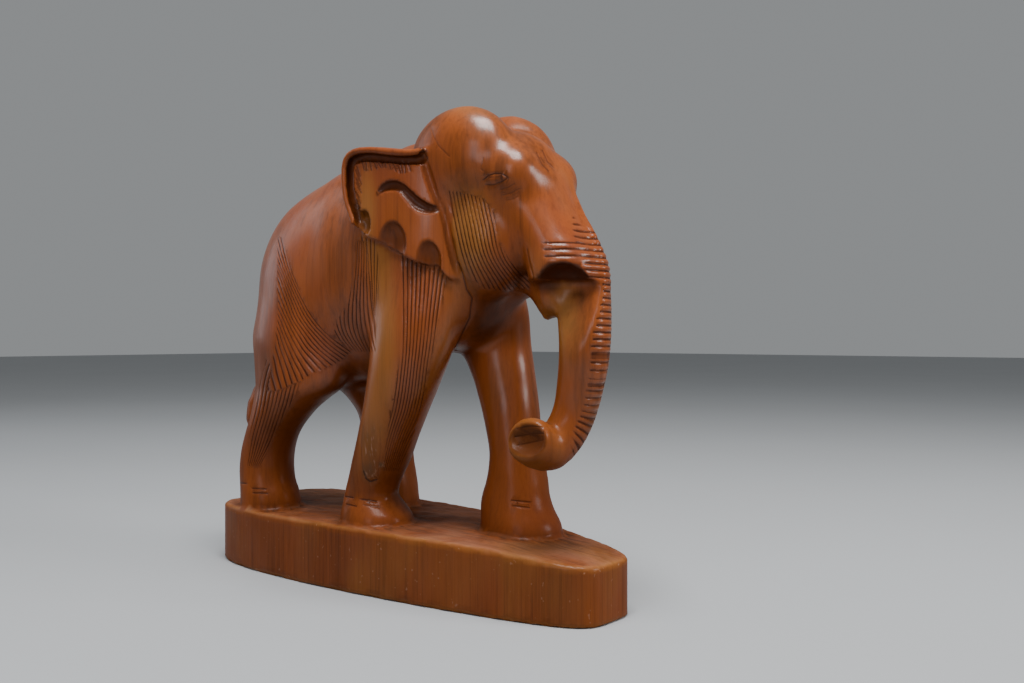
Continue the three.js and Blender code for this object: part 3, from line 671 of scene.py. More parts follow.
class Carver:
    """Turns a distance field into a closed mesh, finer where the carving is finer."""

    coarse = 4
    batch = 200000

    def __init__(self, shape: Field, lo: Row, hi: Row, cell: float) -> None:
        """Samples the field on a grid, roughly at first and in full near the surface.

        Args:
            shape: the distance field.
            lo: lowest corner of the grid.
            hi: the grid reaches at least this far.
            cell: spacing of the grid.
        """
        self.shape, self.cell = shape, cell
        self.lo = np.array(lo, float)
        coarse = self.coarse
        n = (np.ceil((np.array(hi) - self.lo) / (cell * coarse)).astype(int)) * coarse + 1
        rough = self._sample(np.indices((n - 1) // coarse + 1).reshape(3, -1).T * coarse)
        rough = rough.reshape((n - 1) // coarse + 1)
        near = np.abs(rough) < cell * coarse * 1.25
        half = coarse // 2
        index = np.minimum(
            (np.indices(n) + half) // coarse, (np.array(rough.shape) - 1)[:, None, None, None]
        )
        value = rough[index[0], index[1], index[2]]
        close = near[index[0], index[1], index[2]]
        value[close] = self._sample(np.argwhere(close))
        self.value = value
        self._fill_crevices()

    def _sample(self, index: np.ndarray) -> np.ndarray:
        """Reads the field, a batch at a time.

        Args:
            index: grid indices, one row each.

        Returns:
            the distance at each.
        """
        out = np.empty(len(index))
        for i in range(0, len(index), self.batch):
            part = slice(i, i + self.batch)
            out[part] = self.shape(self.lo + self.cell * index[part])
        return out

    def _fill_crevices(self, fill: float = 0.05) -> None:
        """Fills crevices finer than the grid, so that no cube holds two sheets.

        Args:
            fill: how far inside a filled grid point lies.
        """
        corners = [(c & 1, (c >> 1) & 1, c >> 2) for c in range(8)]

        def hangs(mask: int) -> bool:
            """Tests a pick of a cube's corners.

            Args:
                mask: one bit for each corner.

            Returns:
                whether the picked corners hang together along the cube's edges.
            """
            reached = mask & -mask
            for _ in range(7):
                for c in range(8):
                    if mask >> c & 1 and reached & (1 << (c ^ 1) | 1 << (c ^ 2) | 1 << (c ^ 4)):
                        reached |= 1 << c
            return reached == mask

        single = np.array([hangs(m) and hangs(255 - m) for m in range(256)])
        n = self.value.shape
        while True:
            mask = np.zeros(tuple(k - 1 for k in n), int)
            for bit, (i, j, k) in enumerate(corners):
                part = self.value[i : n[0] - 1 + i, j : n[1] - 1 + j, k : n[2] - 1 + k]
                mask |= (part < 0).astype(int) << bit
            bad = np.argwhere(~single[mask])
            if not len(bad):
                return
            for cube in bad:
                at = [tuple(cube + np.array(c)) for c in corners]
                openings = [a for a in at if self.value[a] >= 0]
                if openings:
                    self.value[min(openings, key=lambda a: self.value[a])] = -fill

    def surface(self, steps: int = 2) -> tuple[np.ndarray, np.ndarray]:
        """Closed mesh of the zero level.

        Args:
            steps: how often the points are moved onto the level.

        Returns:
            points and triangles.
        """
        v, n = self.value, self.value.shape
        inside = v < 0
        count = sum(
            inside[i : n[0] - 1 + i, j : n[1] - 1 + j, k : n[2] - 1 + k].astype(int)
            for i in (0, 1) for j in (0, 1) for k in (0, 1)
        )
        mixed = (count > 0) & (count < 8)
        cells = np.argwhere(mixed)
        number = np.full(mixed.shape, -1)
        number[mixed] = np.arange(len(cells))
        total, hits = np.zeros((len(cells), 3)), np.zeros(len(cells))
        for axis in range(3):
            others = [k for k in range(3) if k != axis]
            for c in range(4):
                start = np.zeros(3, int)
                start[others[0]], start[others[1]] = c % 2, c // 2
                end = start.copy()
                end[axis] = 1
                a = v[tuple((cells + start).T)]
                b = v[tuple((cells + end).T)]
                cross = (a < 0) != (b < 0)
                spot = np.repeat(start[None].astype(float), len(cells), 0)
                spot[:, axis] = np.where(cross, a / np.where(cross, a - b, 1), 0)
                total[cross] += spot[cross]
                hits[cross] += 1
        points = self.lo + self.cell * (cells + total / hits[:, None])
        quads = []
        for axis in range(3):
            u, w = (axis + 1) % 3, (axis + 2) % 3
            first = [slice(None)] * 3
            second = [slice(None)] * 3
            first[axis], second[axis] = slice(0, n[axis] - 1), slice(1, n[axis])
            change = np.argwhere(inside[tuple(first)] != inside[tuple(second)])
            near = inside[tuple(change.T)]
            ring = []
            for du, dw in ((1, 1), (0, 1), (0, 0), (1, 0)):
                q = change.copy()
                q[:, u] -= du
                q[:, w] -= dw
                ring.append(number[tuple(q.T)])
            quad = np.stack(ring, 1)
            quad[~near] = quad[~near][:, ::-1]
            quads.append(quad)
        quad = np.concatenate(quads)
        points = self.settle(points, self.cell, steps)
        corner = points[quad]
        first_way = np.linalg.norm(corner[:, 0] - corner[:, 2], axis=1)
        other_way = np.linalg.norm(corner[:, 1] - corner[:, 3], axis=1)
        short = first_way <= other_way
        one = np.where(short[:, None], quad[:, [0, 1, 2]], quad[:, [1, 2, 3]])
        two = np.where(short[:, None], quad[:, [0, 2, 3]], quad[:, [1, 3, 0]])
        return points, np.concatenate([one, two])

    def settle(self, p: Points, reach: float, steps: int) -> Points:
        """Moves points along the slope of the field onto its zero level.

        Args:
            p: the points.
            reach: twice the farthest that a point moves in a step.
            steps: how many steps are made.

        Returns:
            the moved points.
        """
        for _ in range(steps):
            d, g = slope_of(self.shape, p)
            move = -(d / np.maximum((g * g).sum(1), 0.05))[:, None] * g
            size = np.linalg.norm(move, axis=1)
            move *= np.minimum(1, 0.5 * reach / np.maximum(size, 1e-9))[:, None]
            p = p + move
        return p

    def refine(
        self, points: Points, tris: np.ndarray, target: Callable[[Points], np.ndarray]
    ) -> tuple[Points, np.ndarray]:
        """Splits the edges that are longer than the target at their middle.

        Args:
            points: the mesh points.
            tris: the mesh triangles.
            target: longest edge wanted at each point.

        Returns:
            the finer points and triangles, still closed.
        """
        edges = np.sort(np.concatenate([tris[:, [0, 1]], tris[:, [1, 2]], tris[:, [2, 0]]]), 1)
        edges, back = np.unique(edges, axis=0, return_inverse=True)
        back = back.reshape(3, -1).T
        middle = (points[edges[:, 0]] + points[edges[:, 1]]) / 2
        length = np.linalg.norm(points[edges[:, 0]] - points[edges[:, 1]], axis=1)
        split = length > target(middle)
        number = np.full(len(edges), -1)
        number[split] = len(points) + np.arange(split.sum())
        added = self.settle(middle[split], self.cell * 0.5, 1)
        mid = number[back]
        cut = mid >= 0
        kinds = cut.sum(1)
        out = [tris[kinds == 0]]
        for shift in range(3):
            t = np.roll(tris, -shift, axis=1)
            m = np.roll(mid, -shift, axis=1)
            one = (kinds == 1) & (m[:, 0] >= 0)
            a, b, c, x = t[one, 0], t[one, 1], t[one, 2], m[one, 0]
            out += [np.stack([a, x, c], 1), np.stack([x, b, c], 1)]
            two = (kinds == 2) & (m[:, 2] < 0)
            a, b, c, x, y = t[two, 0], t[two, 1], t[two, 2], m[two, 0], m[two, 1]
            out += [np.stack([x, b, y], 1), np.stack([a, x, y], 1), np.stack([a, y, c], 1)]
        t, m = tris[kinds == 3], mid[kinds == 3]
        out += [
            np.stack([t[:, 0], m[:, 0], m[:, 2]], 1), np.stack([m[:, 0], t[:, 1], m[:, 1]], 1),
            np.stack([m[:, 2], m[:, 1], t[:, 2]], 1), m,
        ]
        return np.concatenate([points, added]), np.concatenate(out)


@dataclass(frozen=True)
class View:
    """The viewpoint: where it stands and how it is turned, in millimetres."""

    place: Row = (374.24, -362.04, 125.76)
    right: Row = (0.76380, 0.64546, 0.0)
    ahead: Row = (-0.64545, 0.76379, -0.00524)
    up: Row = (-0.00338, 0.00400, 0.99999)
    focal: float = 996.0
    image: Row = (1024.0, 683.0)
    sensor: float = 36.0
    clip: Row = (0.01, 20.0)

    def project(self, p: Points) -> np.ndarray:
        """Finds points in the view.

        Args:
            p: the points.

        Returns:
            the place of each point in the image, in pixels.
        """
        q = p - np.array(self.place)
        deep = q @ np.array(self.ahead)
        return np.stack([
            self.image[0] / 2 + self.focal * (q @ np.array(self.right)) / deep,
            self.image[1] / 2 - self.focal * (q @ np.array(self.up)) / deep,
        ], 1)

    def facing(self, p: Points, n: Points) -> np.ndarray:
        """How squarely the surface at each point faces the view, from -1 to 1."""
        ray = np.array(self.place) - p
        return (ray * n).sum(1) / np.linalg.norm(ray, axis=1)

    def make(self) -> None:
        """Makes the camera of the scene."""
        data = bpy.data.cameras.new("view")
        data.sensor_width, data.lens = self.sensor, self.focal * self.sensor / self.image[0]
        data.clip_start, data.clip_end = self.clip
        camera = bpy.data.objects.new("view", data)
        bpy.context.collection.objects.link(camera)
        back = -Vector(self.ahead)
        turn = Matrix((Vector(self.right), Vector(self.up), back)).transposed().to_4x4()
        camera.matrix_world = Matrix.Translation(Vector(self.place) * MM) @ turn
        bpy.context.scene.camera = camera


class Side(Enum):
    """Which side of the elephant a cut is on."""

    RIGHT = "right"
    BOTH = "both"
    SEEN = "as seen"


@dataclass(frozen=True)
class Zone:
    """A box on the elephant, on its right side or on both."""

    lo: Row
    hi: Row
    side: Side = Side.BOTH

    def holds(self, p: Points) -> np.ndarray:
        """Which points lie in the box and on the side."""
        inside = np.all((p >= np.array(self.lo)) & (p <= np.array(self.hi)), axis=1)
        return inside & (p[:, 1] < 0) if self.side is Side.RIGHT else inside


@dataclass(frozen=True)
class Lines:
    """A bundle of carved lines that run between guide lines, as the view shows them.

    Each row is [height in the view, place of each guide from left to right], in pixels, and
    `numbers` says how many lines lie to the left of each guide.
    """

    rows: tuple[Row, ...]
    numbers: Row
    region: tuple[Row, ...]
    zone: Zone
    depth: float
    fade: float = 3.0

    def phase(self, px: np.ndarray) -> tuple[np.ndarray, np.ndarray]:
        """Counts the lines across the bundle.

        Args:
            px: places in the view.

        Returns:
            the running number of the line, and how strongly the bundle is there.
        """
        guide = Profile(self.rows).at(px[:, 1])
        number = np.zeros(len(px))
        for i in range(len(self.numbers) - 1):
            across = (px[:, 0] - guide[:, i]) / (guide[:, i + 1] - guide[:, i])
            part = self.numbers[i] + across * (self.numbers[i + 1] - self.numbers[i])
            number = np.where((px[:, 0] > guide[:, i]) | (i == 0), part, number)
        gap = outline_gap(px[:, 0], px[:, 1], np.array(self.region, float))
        return number, ramp(gap, 0.5, -self.fade)


@dataclass(frozen=True)
class Stroke:
    """One cut of the knife, through places in the view, in pixels."""

    path: tuple[Row, ...]
    depth: float
    zone: Zone
    reach: float = 2.4
    run_out: Row = (1.6, 0.2)
    core: float = 0.55

    def gap(self, px: np.ndarray) -> tuple[np.ndarray, np.ndarray]:
        """Measures places against the cut.

        Args:
            px: places in the view.

        Returns:
            the distance across the cut, signed by its side, and how deep the cut is there.
        """
        best = np.full(len(px), np.inf)
        signed = np.zeros(len(px))
        ends = np.ones(len(px))
        last = len(self.path) - 2
        for i, (a, b) in enumerate(zip(np.array(self.path), np.array(self.path[1:]))):
            e = (b - a) / np.linalg.norm(b - a)
            q = px - a
            t = q @ e
            run = np.clip(t, 0, np.linalg.norm(b - a))
            size = np.linalg.norm(q - run[:, None] * e, axis=1)
            side = q[:, 1] * e[0] - q[:, 0] * e[1]
            beyond = np.abs(t - run)
            beyond[(t < 0) & (i > 0)] = 0
            beyond[(t > 0) & (i < last)] = 0
            closer = size < best
            best = np.where(closer, size, best)
            signed = np.where(closer, np.where(side < 0, -size, size), signed)
            ends = np.where(closer, ramp(beyond, *self.run_out), ends)
        return signed, self.depth * ends * ramp(best, self.reach, self.reach * self.core)


@dataclass(frozen=True)
class Patch:
    """A soft-edged oval patch round a place in the view, in pixels."""

    x: float
    y: float
    wide: float
    high: float
    zone: Zone
    strength: float = 1.0

    def at(self, px: np.ndarray, p: Points) -> np.ndarray:
        """How strong the patch is at points, given their places in the view too."""
        u, v = (px[:, 0] - self.x) / self.wide, (px[:, 1] - self.y) / self.high
        return self.strength * np.exp(-((u * u + v * v) ** 1.5)) * self.zone.holds(p)


@dataclass(frozen=True)
class Rings:
    """The rings across the front of the trunk, from the lip down to the curl."""

    spacing: float = 3.05
    start: float = 7.0
    start_fade: float = 4.0
    level: float = 118.0
    depth: float = 0.6
    zone: Zone = Zone((80, -36, 58), (130, 30, 190))
    curl_run: Row = (118, 140)
    curl_front: Row = (0.62, 0, -0.78)
    lean: Row = (0.72, 0.84)
    muzzle_level: Row = (148, 154)
    muzzle_left: Row = (570, 582)
    crossing_top: Row = (241, 243)
    crossing_foot: Row = (260, 258)
    crossing_left: Row = (540, 548)
    crossing_strength: float = 0.6
    right_end: Row = (-11, -4)
    front: Row = (0.05, 0.3)
    tip_run: float = 128.0
    tip_gap: Row = (3.5, 1.5)
    reach_level: float = 150.0
    reach_above: float = 14.0
    reach_below: float = 4.0

    def cut(self, trunk: Trunk, p: Points, n: Points, px: np.ndarray) -> tuple[np.ndarray, np.ndarray]:
        """Counts the rings along the trunk.

        Args:
            trunk: the trunk that they go round.
            p: points of the surface.
            n: their normals.
            px: their places in the view, folded onto the right.

        Returns:
            the running number of the ring, and how strongly it is cut.
        """
        phase, strength = np.zeros(len(p)), np.zeros(len(p))
        near = self.zone.holds(p)
        if not near.any():
            return phase, strength
        p, n, px = p[near], n[near], px[near]
        gap, run, _ = trunk.stem.nearest(p)
        along, nodes = trunk.stem.nodes()
        straight = float(np.interp(-self.level, -nodes[:, 2], along))
        run = np.where(p[:, 2] > self.level, straight + self.level - p[:, 2], run)
        curl = ramp(run, *self.curl_run)[:, None]
        front = (1 - curl) * np.array([1.0, 0, 0]) + curl * np.array(self.curl_front)
        phase[near] = (run - self.start) / self.spacing
        top = ramp(p[:, 2], *self.muzzle_level)
        cut = (1 - top) * ramp((n * front).sum(1), *self.lean) + top * ramp(px[:, 0], *self.muzzle_left)
        cut = cut * ramp(run, self.start, self.start + self.start_fade) * ramp(p[:, 1], *self.right_end)
        crossing = ramp(px[:, 1], *self.crossing_top) * ramp(px[:, 1], *self.crossing_foot)
        crossing = crossing * ramp(px[:, 0], *self.crossing_left)
        cut = np.maximum(cut, self.crossing_strength * crossing) * ramp(n[:, 0], *self.front)
        reach = np.where(p[:, 2] > self.reach_level, self.reach_above, self.reach_below)
        ahead = (p - np.array(trunk.tip)) @ trunk.axis()
        end = np.where(run > self.tip_run, ramp(ahead, *self.tip_gap), 1)
        strength[near] = cut * (gap < reach) * end
        return phase, strength


@dataclass(frozen=True)
class Relief:
    """All the carved lines and knife cuts, and the eye between its lids."""

    view: View
    elephant: Elephant
    rings: Rings = Rings()
    cheek: Lines = Lines(
        ((186, 446, 485), (223, 452.4, 494), (259, 461, 503), (288, 471, 526), (300, 477, 537)),
        (0, 11),
        ((447, 190), (466, 192), (484, 198), (495, 212), (499, 240), (511, 261), (531, 279),
         (530, 289), (505, 292), (484, 290), (469, 278), (460, 257), (453, 235), (448, 210)),
        Zone((44, -40, 140), (96, 40, 204)), 0.42)
    thigh: Lines = Lines(
        ((236, 236, 246, 262, 278), (258, 244, 254, 270, 283.5), (279, 252, 262, 279, 290.5),
         (300, 260, 270, 286, 300), (319, 268, 279, 293, 311), (334, 274, 284.5, 303, 324),
         (348, 277, 291, 314, 341), (361, 281, 298, 330, 360), (374, 285, 306, 347, 378),
         (392, 291, 314, 366, 396)),
        (0, 3.5, 8, 13),
        ((276, 237), (281, 236), (292, 270), (303, 298), (316, 320), (331, 336), (354, 350),
         (341, 362), (326, 369), (313, 374), (301, 382), (289, 389), (276, 394), (262, 393),
         (268, 374), (274, 345), (276, 319), (276, 280)),
        Zone((-112, -50, 85), (10, 50, 190)), 0.4)
    hind_leg: Lines = Lines(
        ((340, 275, 312), (352, 271, 306), (380, 262, 298), (410, 257, 290), (440, 250, 279),
         (466, 246, 262)),
        (0, 9),
        ((266, 358), (276, 371), (290, 382), (301, 380), (297, 395), (283, 420), (271, 446),
         (261, 467), (246, 467), (248, 440), (253, 410), (258, 385)),
        Zone((-112, -50, 50), (-30, 50, 135)), 0.36)
    belly: Lines = Lines(
        ((240, 340, 356, 366), (265, 338, 354.5, 367), (290, 338, 352, 368),
         (308, 333, 350, 369), (325, 334, 350, 371), (340, 341, 355, 373), (352, 352, 363, 376)),
        (0, 4, 9),
        ((355, 240), (367, 240), (374, 300), (376, 352), (357, 353), (342, 347), (332, 333),
         (337, 318), (347, 303), (351, 280)),
        Zone((-60, -50, 100), (25, 50, 175)), 0.38)
    shoulder_back: Lines = Lines(
        ((232, 358, 386), (262, 362, 382), (290, 367, 379), (316, 371, 377)), (0, 6),
        ((358, 234), (376, 240), (380, 262), (379, 290), (376, 318), (370, 318), (366, 290),
         (361, 262)),
        Zone((-12, -50, 110), (40, 50, 190)), 0.26)
    fore_leg: Lines = Lines(
        ((244, 399, 448), (300, 401, 441), (360, 400, 433), (410, 394, 425), (440, 386, 411),
         (470, 380, 398)),
        (0, 10),
        ((397, 254), (450, 262), (443, 300), (434, 350), (429, 372), (425, 400), (413, 440),
         (400, 472), (383, 472), (385, 440), (391, 405), (396, 375), (400, 350), (400, 300)),
        Zone((-14, -50, 50), (60, -2, 178), Side.RIGHT), 0.42)
    round_eye: Zone = Zone((60, -40, 180), (100, 40, 215))
    eyelids: tuple[Stroke, ...] = (
        Stroke(((483, 180), (488, 175.5), (495, 173.2), (502, 174), (508, 177.5)), 1.0, round_eye),
        Stroke(((486, 184.5), (493, 184.8), (500, 182), (506.5, 178.8)), 0.8, round_eye),
        Stroke(((500, 189.5), (508, 187.5), (514, 184)), 0.45, round_eye),
        Stroke(((502, 195), (511, 193), (519, 189)), 0.45, round_eye),
        Stroke(((506, 200.5), (513, 199), (518, 196)), 0.35, round_eye),
    )
    forehead: Zone = Zone((60, -40, 180), (120, 10, 225), Side.RIGHT)
    forehead_nicks: tuple[Stroke, ...] = (
        Stroke(((537.5, 152), (543, 164), (549.5, 171)), 0.7, forehead),
        Stroke(((543.4, 150), (548.5, 161.5), (555, 167)), 0.7, forehead),
    )
    dome_cuts: tuple[Stroke, ...] = (
        Stroke(((430.7, 128), (434, 138), (438, 146), (448.6, 156.4)), 0.35,
               Zone((20, -40, 180), (90, 40, 236))),
        Stroke(((483, 157.7), (480.5, 169), (488, 174.3)), 0.3, Zone((40, -40, 180), (95, 40, 236))),
    )
    hind_foot: Zone = Zone((-112, -45, 30), (-60, 45, 60))
    right_foot: Zone = Zone((-30, -45, 30), (20, 0, 60), Side.RIGHT)
    left_foot: Zone = Zone((30, -10, 30), (95, 40, 60), Side.SEEN)
    toe_cuts: tuple[Stroke, ...] = (
        Stroke(((252, 488.4), (266, 489)), 0.9, hind_foot),
        Stroke(((253, 493), (267, 493.4)), 0.9, hind_foot),
        Stroke(((240, 483), (245, 483.6)), 0.8, hind_foot),
        Stroke(((345, 496.6), (352.5, 497.6)), 1.0, right_foot),
        Stroke(((346, 504.2), (355, 505.8)), 1.0, right_foot),
        Stroke(((361, 499.2), (376.5, 501)), 1.0, right_foot),
        Stroke(((364, 504.6), (380, 507)), 0.6, right_foot),
        Stroke(((512, 500.5), (530, 502)), 0.9, left_foot),
        Stroke(((513, 505.8), (529, 507.4)), 0.8, left_foot),
    )
    lip_cut: Stroke = Stroke(((526.5, 249), (528.5, 262), (533, 280)), 0.6,
                             Zone((70, -40, 130), (125, 40, 190)))
    neck_cut: Stroke = Stroke(
        ((457, 262), (461.5, 274), (466, 290), (472, 299), (470, 318), (460, 340), (452, 360)),
        1.0, Zone((0, -45, 80), (80, 2, 170), Side.RIGHT), 3.6)
    shin: Zone = Zone((-30, -45, 40), (30, 0, 100), Side.RIGHT)
    flaw_edges: tuple[Stroke, ...] = (
        Stroke(((362.5, 426), (360.5, 446), (362.5, 470)), 0.3, shin, 3.0),
        Stroke(((379.5, 428), (380.5, 450), (378, 476)), 0.22, shin, 3.0),
        Stroke(((363.5, 472), (366, 479), (370, 482), (377, 480)), 1.2,
               Zone((-30, -45, 40), (30, 0, 90), Side.RIGHT)),
    )
    trunk_end: Zone = Zone((84, -42, 60), (118, -10, 96))
    tip_cuts: tuple[Stroke, ...] = (
        Stroke(((516, 429), (530, 426.5), (543, 427)), 0.6, trunk_end),
        Stroke(((515, 437), (530, 434.5), (543, 433.5)), 0.6, trunk_end),
        Stroke(((518, 445), (531, 442.5), (542, 440)), 0.6, trunk_end),
    )
    hairs: int = 13
    hair_zone: Zone = Zone((-12, -50, 165), (52, 50, 216))
    hair_reach: float = 1.7
    leaf_lo: Row = (-16, 20, 146)
    leaf_hi: Row = (62, 50, 224)
    leaf_margin: float = 8.0
    on_leaf: float = 0.6
    eye_middle: Row = (495.5, 179.4)
    eye_half: Row = (9.5, 3.6)
    eye_tilt: float = -8.0
    eye_bulge: float = 0.7
    mesh_plain: float = 9.0
    mesh_lines: float = 1.25
    mesh_rings: float = 1.0
    mesh_cuts: float = 0.8
    mesh_leaf: float = 1.7

    def bundles(self) -> tuple[Lines, ...]:
        """The bundles of parallel lines."""
        return self.cheek, self.thigh, self.hind_leg, self.belly, self.shoulder_back, self.fore_leg

    def strokes(self) -> tuple[Stroke, ...]:
        """The single cuts, apart from those of the ears."""
        return (*self.eyelids, *self.forehead_nicks, *self.dome_cuts, *self.toe_cuts, self.lip_cut,
                self.neck_cut, *self.flaw_edges, *self.tip_cuts)

    def ear_hairs(self) -> list[Stroke]:
        """Short cuts that hang from the gutter inside the rim of the ear.

        Returns:
            one cut along the top and one along the back for each hair.
        """
        out = []
        for i in range(self.hairs):
            t = i / (self.hairs - 1)
            lean, drop = 2.4 + 1.4 * math.sin(5 * i), 8 + 2.6 * math.sin(7 * i + 1)
            x, y = 361 + 47 * t, 160 + 3.2 * t
            out.append(Stroke(((x, y), (x + lean, y + drop)), 0.8, self.hair_zone, self.hair_reach))
            x, y = 356 + 1.2 * math.sin(4 * i), 166 + 52 * t
            out.append(Stroke(((x, y), (x + 3.4, y + drop)), 0.65, self.hair_zone, self.hair_reach))
        return out

    def seen(self, p: Points, n: Points) -> tuple[np.ndarray, np.ndarray]:
        """Looks at points with the left side folded over onto the right.

        Args:
            p: the points.
            n: their normals.

        Returns:
            their places in the view, and how squarely they face it.
        """
        left = np.where(p[:, 1:2] > 0, [[1.0, -1.0, 1.0]], [[1.0, 1.0, 1.0]])
        return self.view.project(p * left), self.view.facing(p * left, n * left)

    def leaf(self, p: Points) -> np.ndarray:
        """Distance from each point to the leaf of an ear."""
        return within(mirrored(p), self.leaf_lo, self.leaf_hi, self.leaf_margin,
                      self.elephant.ear.distance)

    def knife(self, p: Points, n: Points, px: np.ndarray, face: np.ndarray,
              on_leaf: np.ndarray) -> tuple[np.ndarray, np.ndarray]:
        """Measures points against the single cuts.

        Args:
            p: the points.
            n: their normals.
            px: their places in the view, folded onto the right.
            face: how squarely they face the view, folded.
            on_leaf: which of them are on the leaf of an ear.

        Returns:
            the signed distance across the nearest cut, and how deep it is there.
        """
        px_straight, face_straight = self.view.project(p), self.view.facing(p, n)
        best = np.full(len(p), np.inf)
        gap, depth = np.full(len(p), 9.0), np.zeros(len(p))
        anywhere = np.ones(len(p), bool)
        cuts = [(cut, anywhere) for cut in self.strokes()]
        cuts += [(hair, on_leaf) for hair in self.ear_hairs()]
        for stroke, allowed in cuts:
            straight = stroke.zone.side is Side.SEEN
            where, lit = (px_straight, face_straight) if straight else (px, face)
            here = stroke.zone.holds(p) & (lit > 0.1) & allowed
            if not here.any():
                continue
            across, deep = stroke.gap(where[here])
            closer = np.abs(across) < best[here]
            spots = np.flatnonzero(here)[closer]
            best[spots] = np.abs(across[closer])
            gap[spots], depth[spots] = across[closer], deep[closer]
        return gap, depth

    def lines(self, p: Points, n: Points) -> dict[str, np.ndarray]:
        """Works out every carved line at points of the surface.

        Args:
            p: the points.
            n: their normals.

        Returns:
            the running number of the line, its depth in millimetres, and the single cuts.
        """
        px, face = self.seen(p, n)
        phase, strength = self.rings.cut(self.elephant.trunk, p, n, px)
        depth = strength * self.rings.depth
        for bundle in self.bundles():
            here = bundle.zone.holds(p) & (face > 0.05)
            if not here.any():
                continue
            number, strong = bundle.phase(px[here])
            strong = strong * ramp(face[here], 0.05, 0.3) * bundle.depth
            better = strong > depth[here]
            spots = np.flatnonzero(here)[better]
            phase[spots], depth[spots] = number[better], strong[better]
        on_leaf = self.leaf(p) < self.on_leaf
        depth[on_leaf] = 0
        gap, deep = self.knife(p, n, px, face, on_leaf)
        return {"line_phase": phase, "line_depth": depth, "cut_gap": gap, "cut_depth": deep}

    def eyeball(self, p: Points, n: Points) -> np.ndarray:
        """How far the eye stands out between its lids.

        Args:
            p: points of the surface.
            n: their normals.

        Returns:
            the height at each point, in millimetres.
        """
        px, face = self.seen(p, n)
        q, turn = px - np.array(self.eye_middle), math.radians(self.eye_tilt)
        u = (q[:, 0] * math.cos(turn) + q[:, 1] * math.sin(turn)) / self.eye_half[0]
        v = (q[:, 1] * math.cos(turn) - q[:, 0] * math.sin(turn)) / self.eye_half[1]
        return self.eye_bulge * np.clip(1 - u * u - v * v, 0, 1) * self.round_eye.holds(p) * (face > 0.1)

    def spacing(self, p: Points) -> np.ndarray:
        """How fine the mesh has to be.

        Args:
            p: points on or near the surface.

        Returns:
            the longest edge wanted at each point, in millimetres.
        """
        n = unit_slope(self.elephant.distance, p)
        marks = self.lines(p, n)
        want = np.full(len(p), self.mesh_plain)
        want[marks["line_depth"] > 0.03] = self.mesh_lines
        px, _ = self.seen(p, n)
        want[self.rings.cut(self.elephant.trunk, p, n, px)[1] > 0.05] = self.mesh_rings
        want[marks["cut_depth"] > 0.06] = self.mesh_cuts
        shown_leaf = (self.leaf(p) < 1.5) & (p[:, 1] < 0)
        want[shown_leaf] = np.minimum(want[shown_leaf], self.mesh_leaf)
        return want


class Lattice:
    """Smooth seeded noise for tool marks, worked out at points."""

    def __init__(self, seed: int, size: int = 24) -> None:
        """Fills the lattice.

        Args:
            seed: seed of the random numbers.
            size: how many steps the lattice has before it repeats.
        """
        self.size = size
        self.grid = np.random.default_rng(seed).uniform(-1, 1, (size, size, size))

    def at(self, p: Points, step: Row) -> np.ndarray:
        """Reads the noise.

        Args:
            p: the points, in millimetres.
            step: the lattice's step along each axis, in millimetres.

        Returns:
            the noise at each point, from -1 to 1.
        """
        q = p / np.array(step)
        base = np.floor(q).astype(int)
        f = q - base
        f = f * f * (3 - 2 * f)
        total = np.zeros(len(q))
        for c in range(8):
            corner = np.array([c & 1, (c >> 1) & 1, c >> 2])
            i = (base + corner) % self.size
            weight = np.prod(np.where(corner == 1, f, 1 - f), axis=1)
            total += weight * self.grid[i[:, 0], i[:, 1], i[:, 2]]
        return total


class Wire:
    """A shader socket that takes part in Python expressions."""

    def __init__(self, tree: "Tree", socket: bpy.types.NodeSocket) -> None:
        """Wraps an output socket.

        Args:
            tree: the nodes that the socket belongs to.
            socket: the output socket.
        """
        self.tree, self.socket = tree, socket

    def _math(self, kind: str, *values: "Wire | float") -> "Wire":
        """Adds a Math node of this kind."""
        return self.tree.add("ShaderNodeMath", {"operation": kind}, dict(enumerate(values)))

    def __add__(self, other: "Wire | float") -> "Wire":
        """Sum."""
        return self._math("ADD", self, other)

    __radd__ = __add__

    def __mul__(self, other: "Wire | float") -> "Wire":
        """Product."""
        return self._math("MULTIPLY", self, other)

    __rmul__ = __mul__

    def __sub__(self, other: "Wire | float") -> "Wire":
        """Difference."""
        return self._math("SUBTRACT", self, other)

    def __rsub__(self, other: "Wire | float") -> "Wire":
        """Difference the other way round."""
        return self._math("SUBTRACT", other, self)

    def __abs__(self) -> "Wire":
        """Size without the sign."""
        return self._math("ABSOLUTE", self)

    def fract(self) -> "Wire":
        """What is left after the whole number."""
        return self._math("FRACT", self)

    def spread(self, low: float, high: float, to_low: float = 0, to_high: float = 1) -> "Wire":
        """Moves the value smoothly from one range to another.

        Args:
            low: start of the first range.
            high: end of the first range.
            to_low: what the start becomes.
            to_high: what the end becomes.

        Returns:
            the moved value.
        """
        return self.tree.add(
            "ShaderNodeMapRange",
            {"interpolation_type": "SMOOTHSTEP"},
            {"Value": self, "From Min": low, "From Max": high, "To Min": to_low, "To Max": to_high},
            "Result",
        )


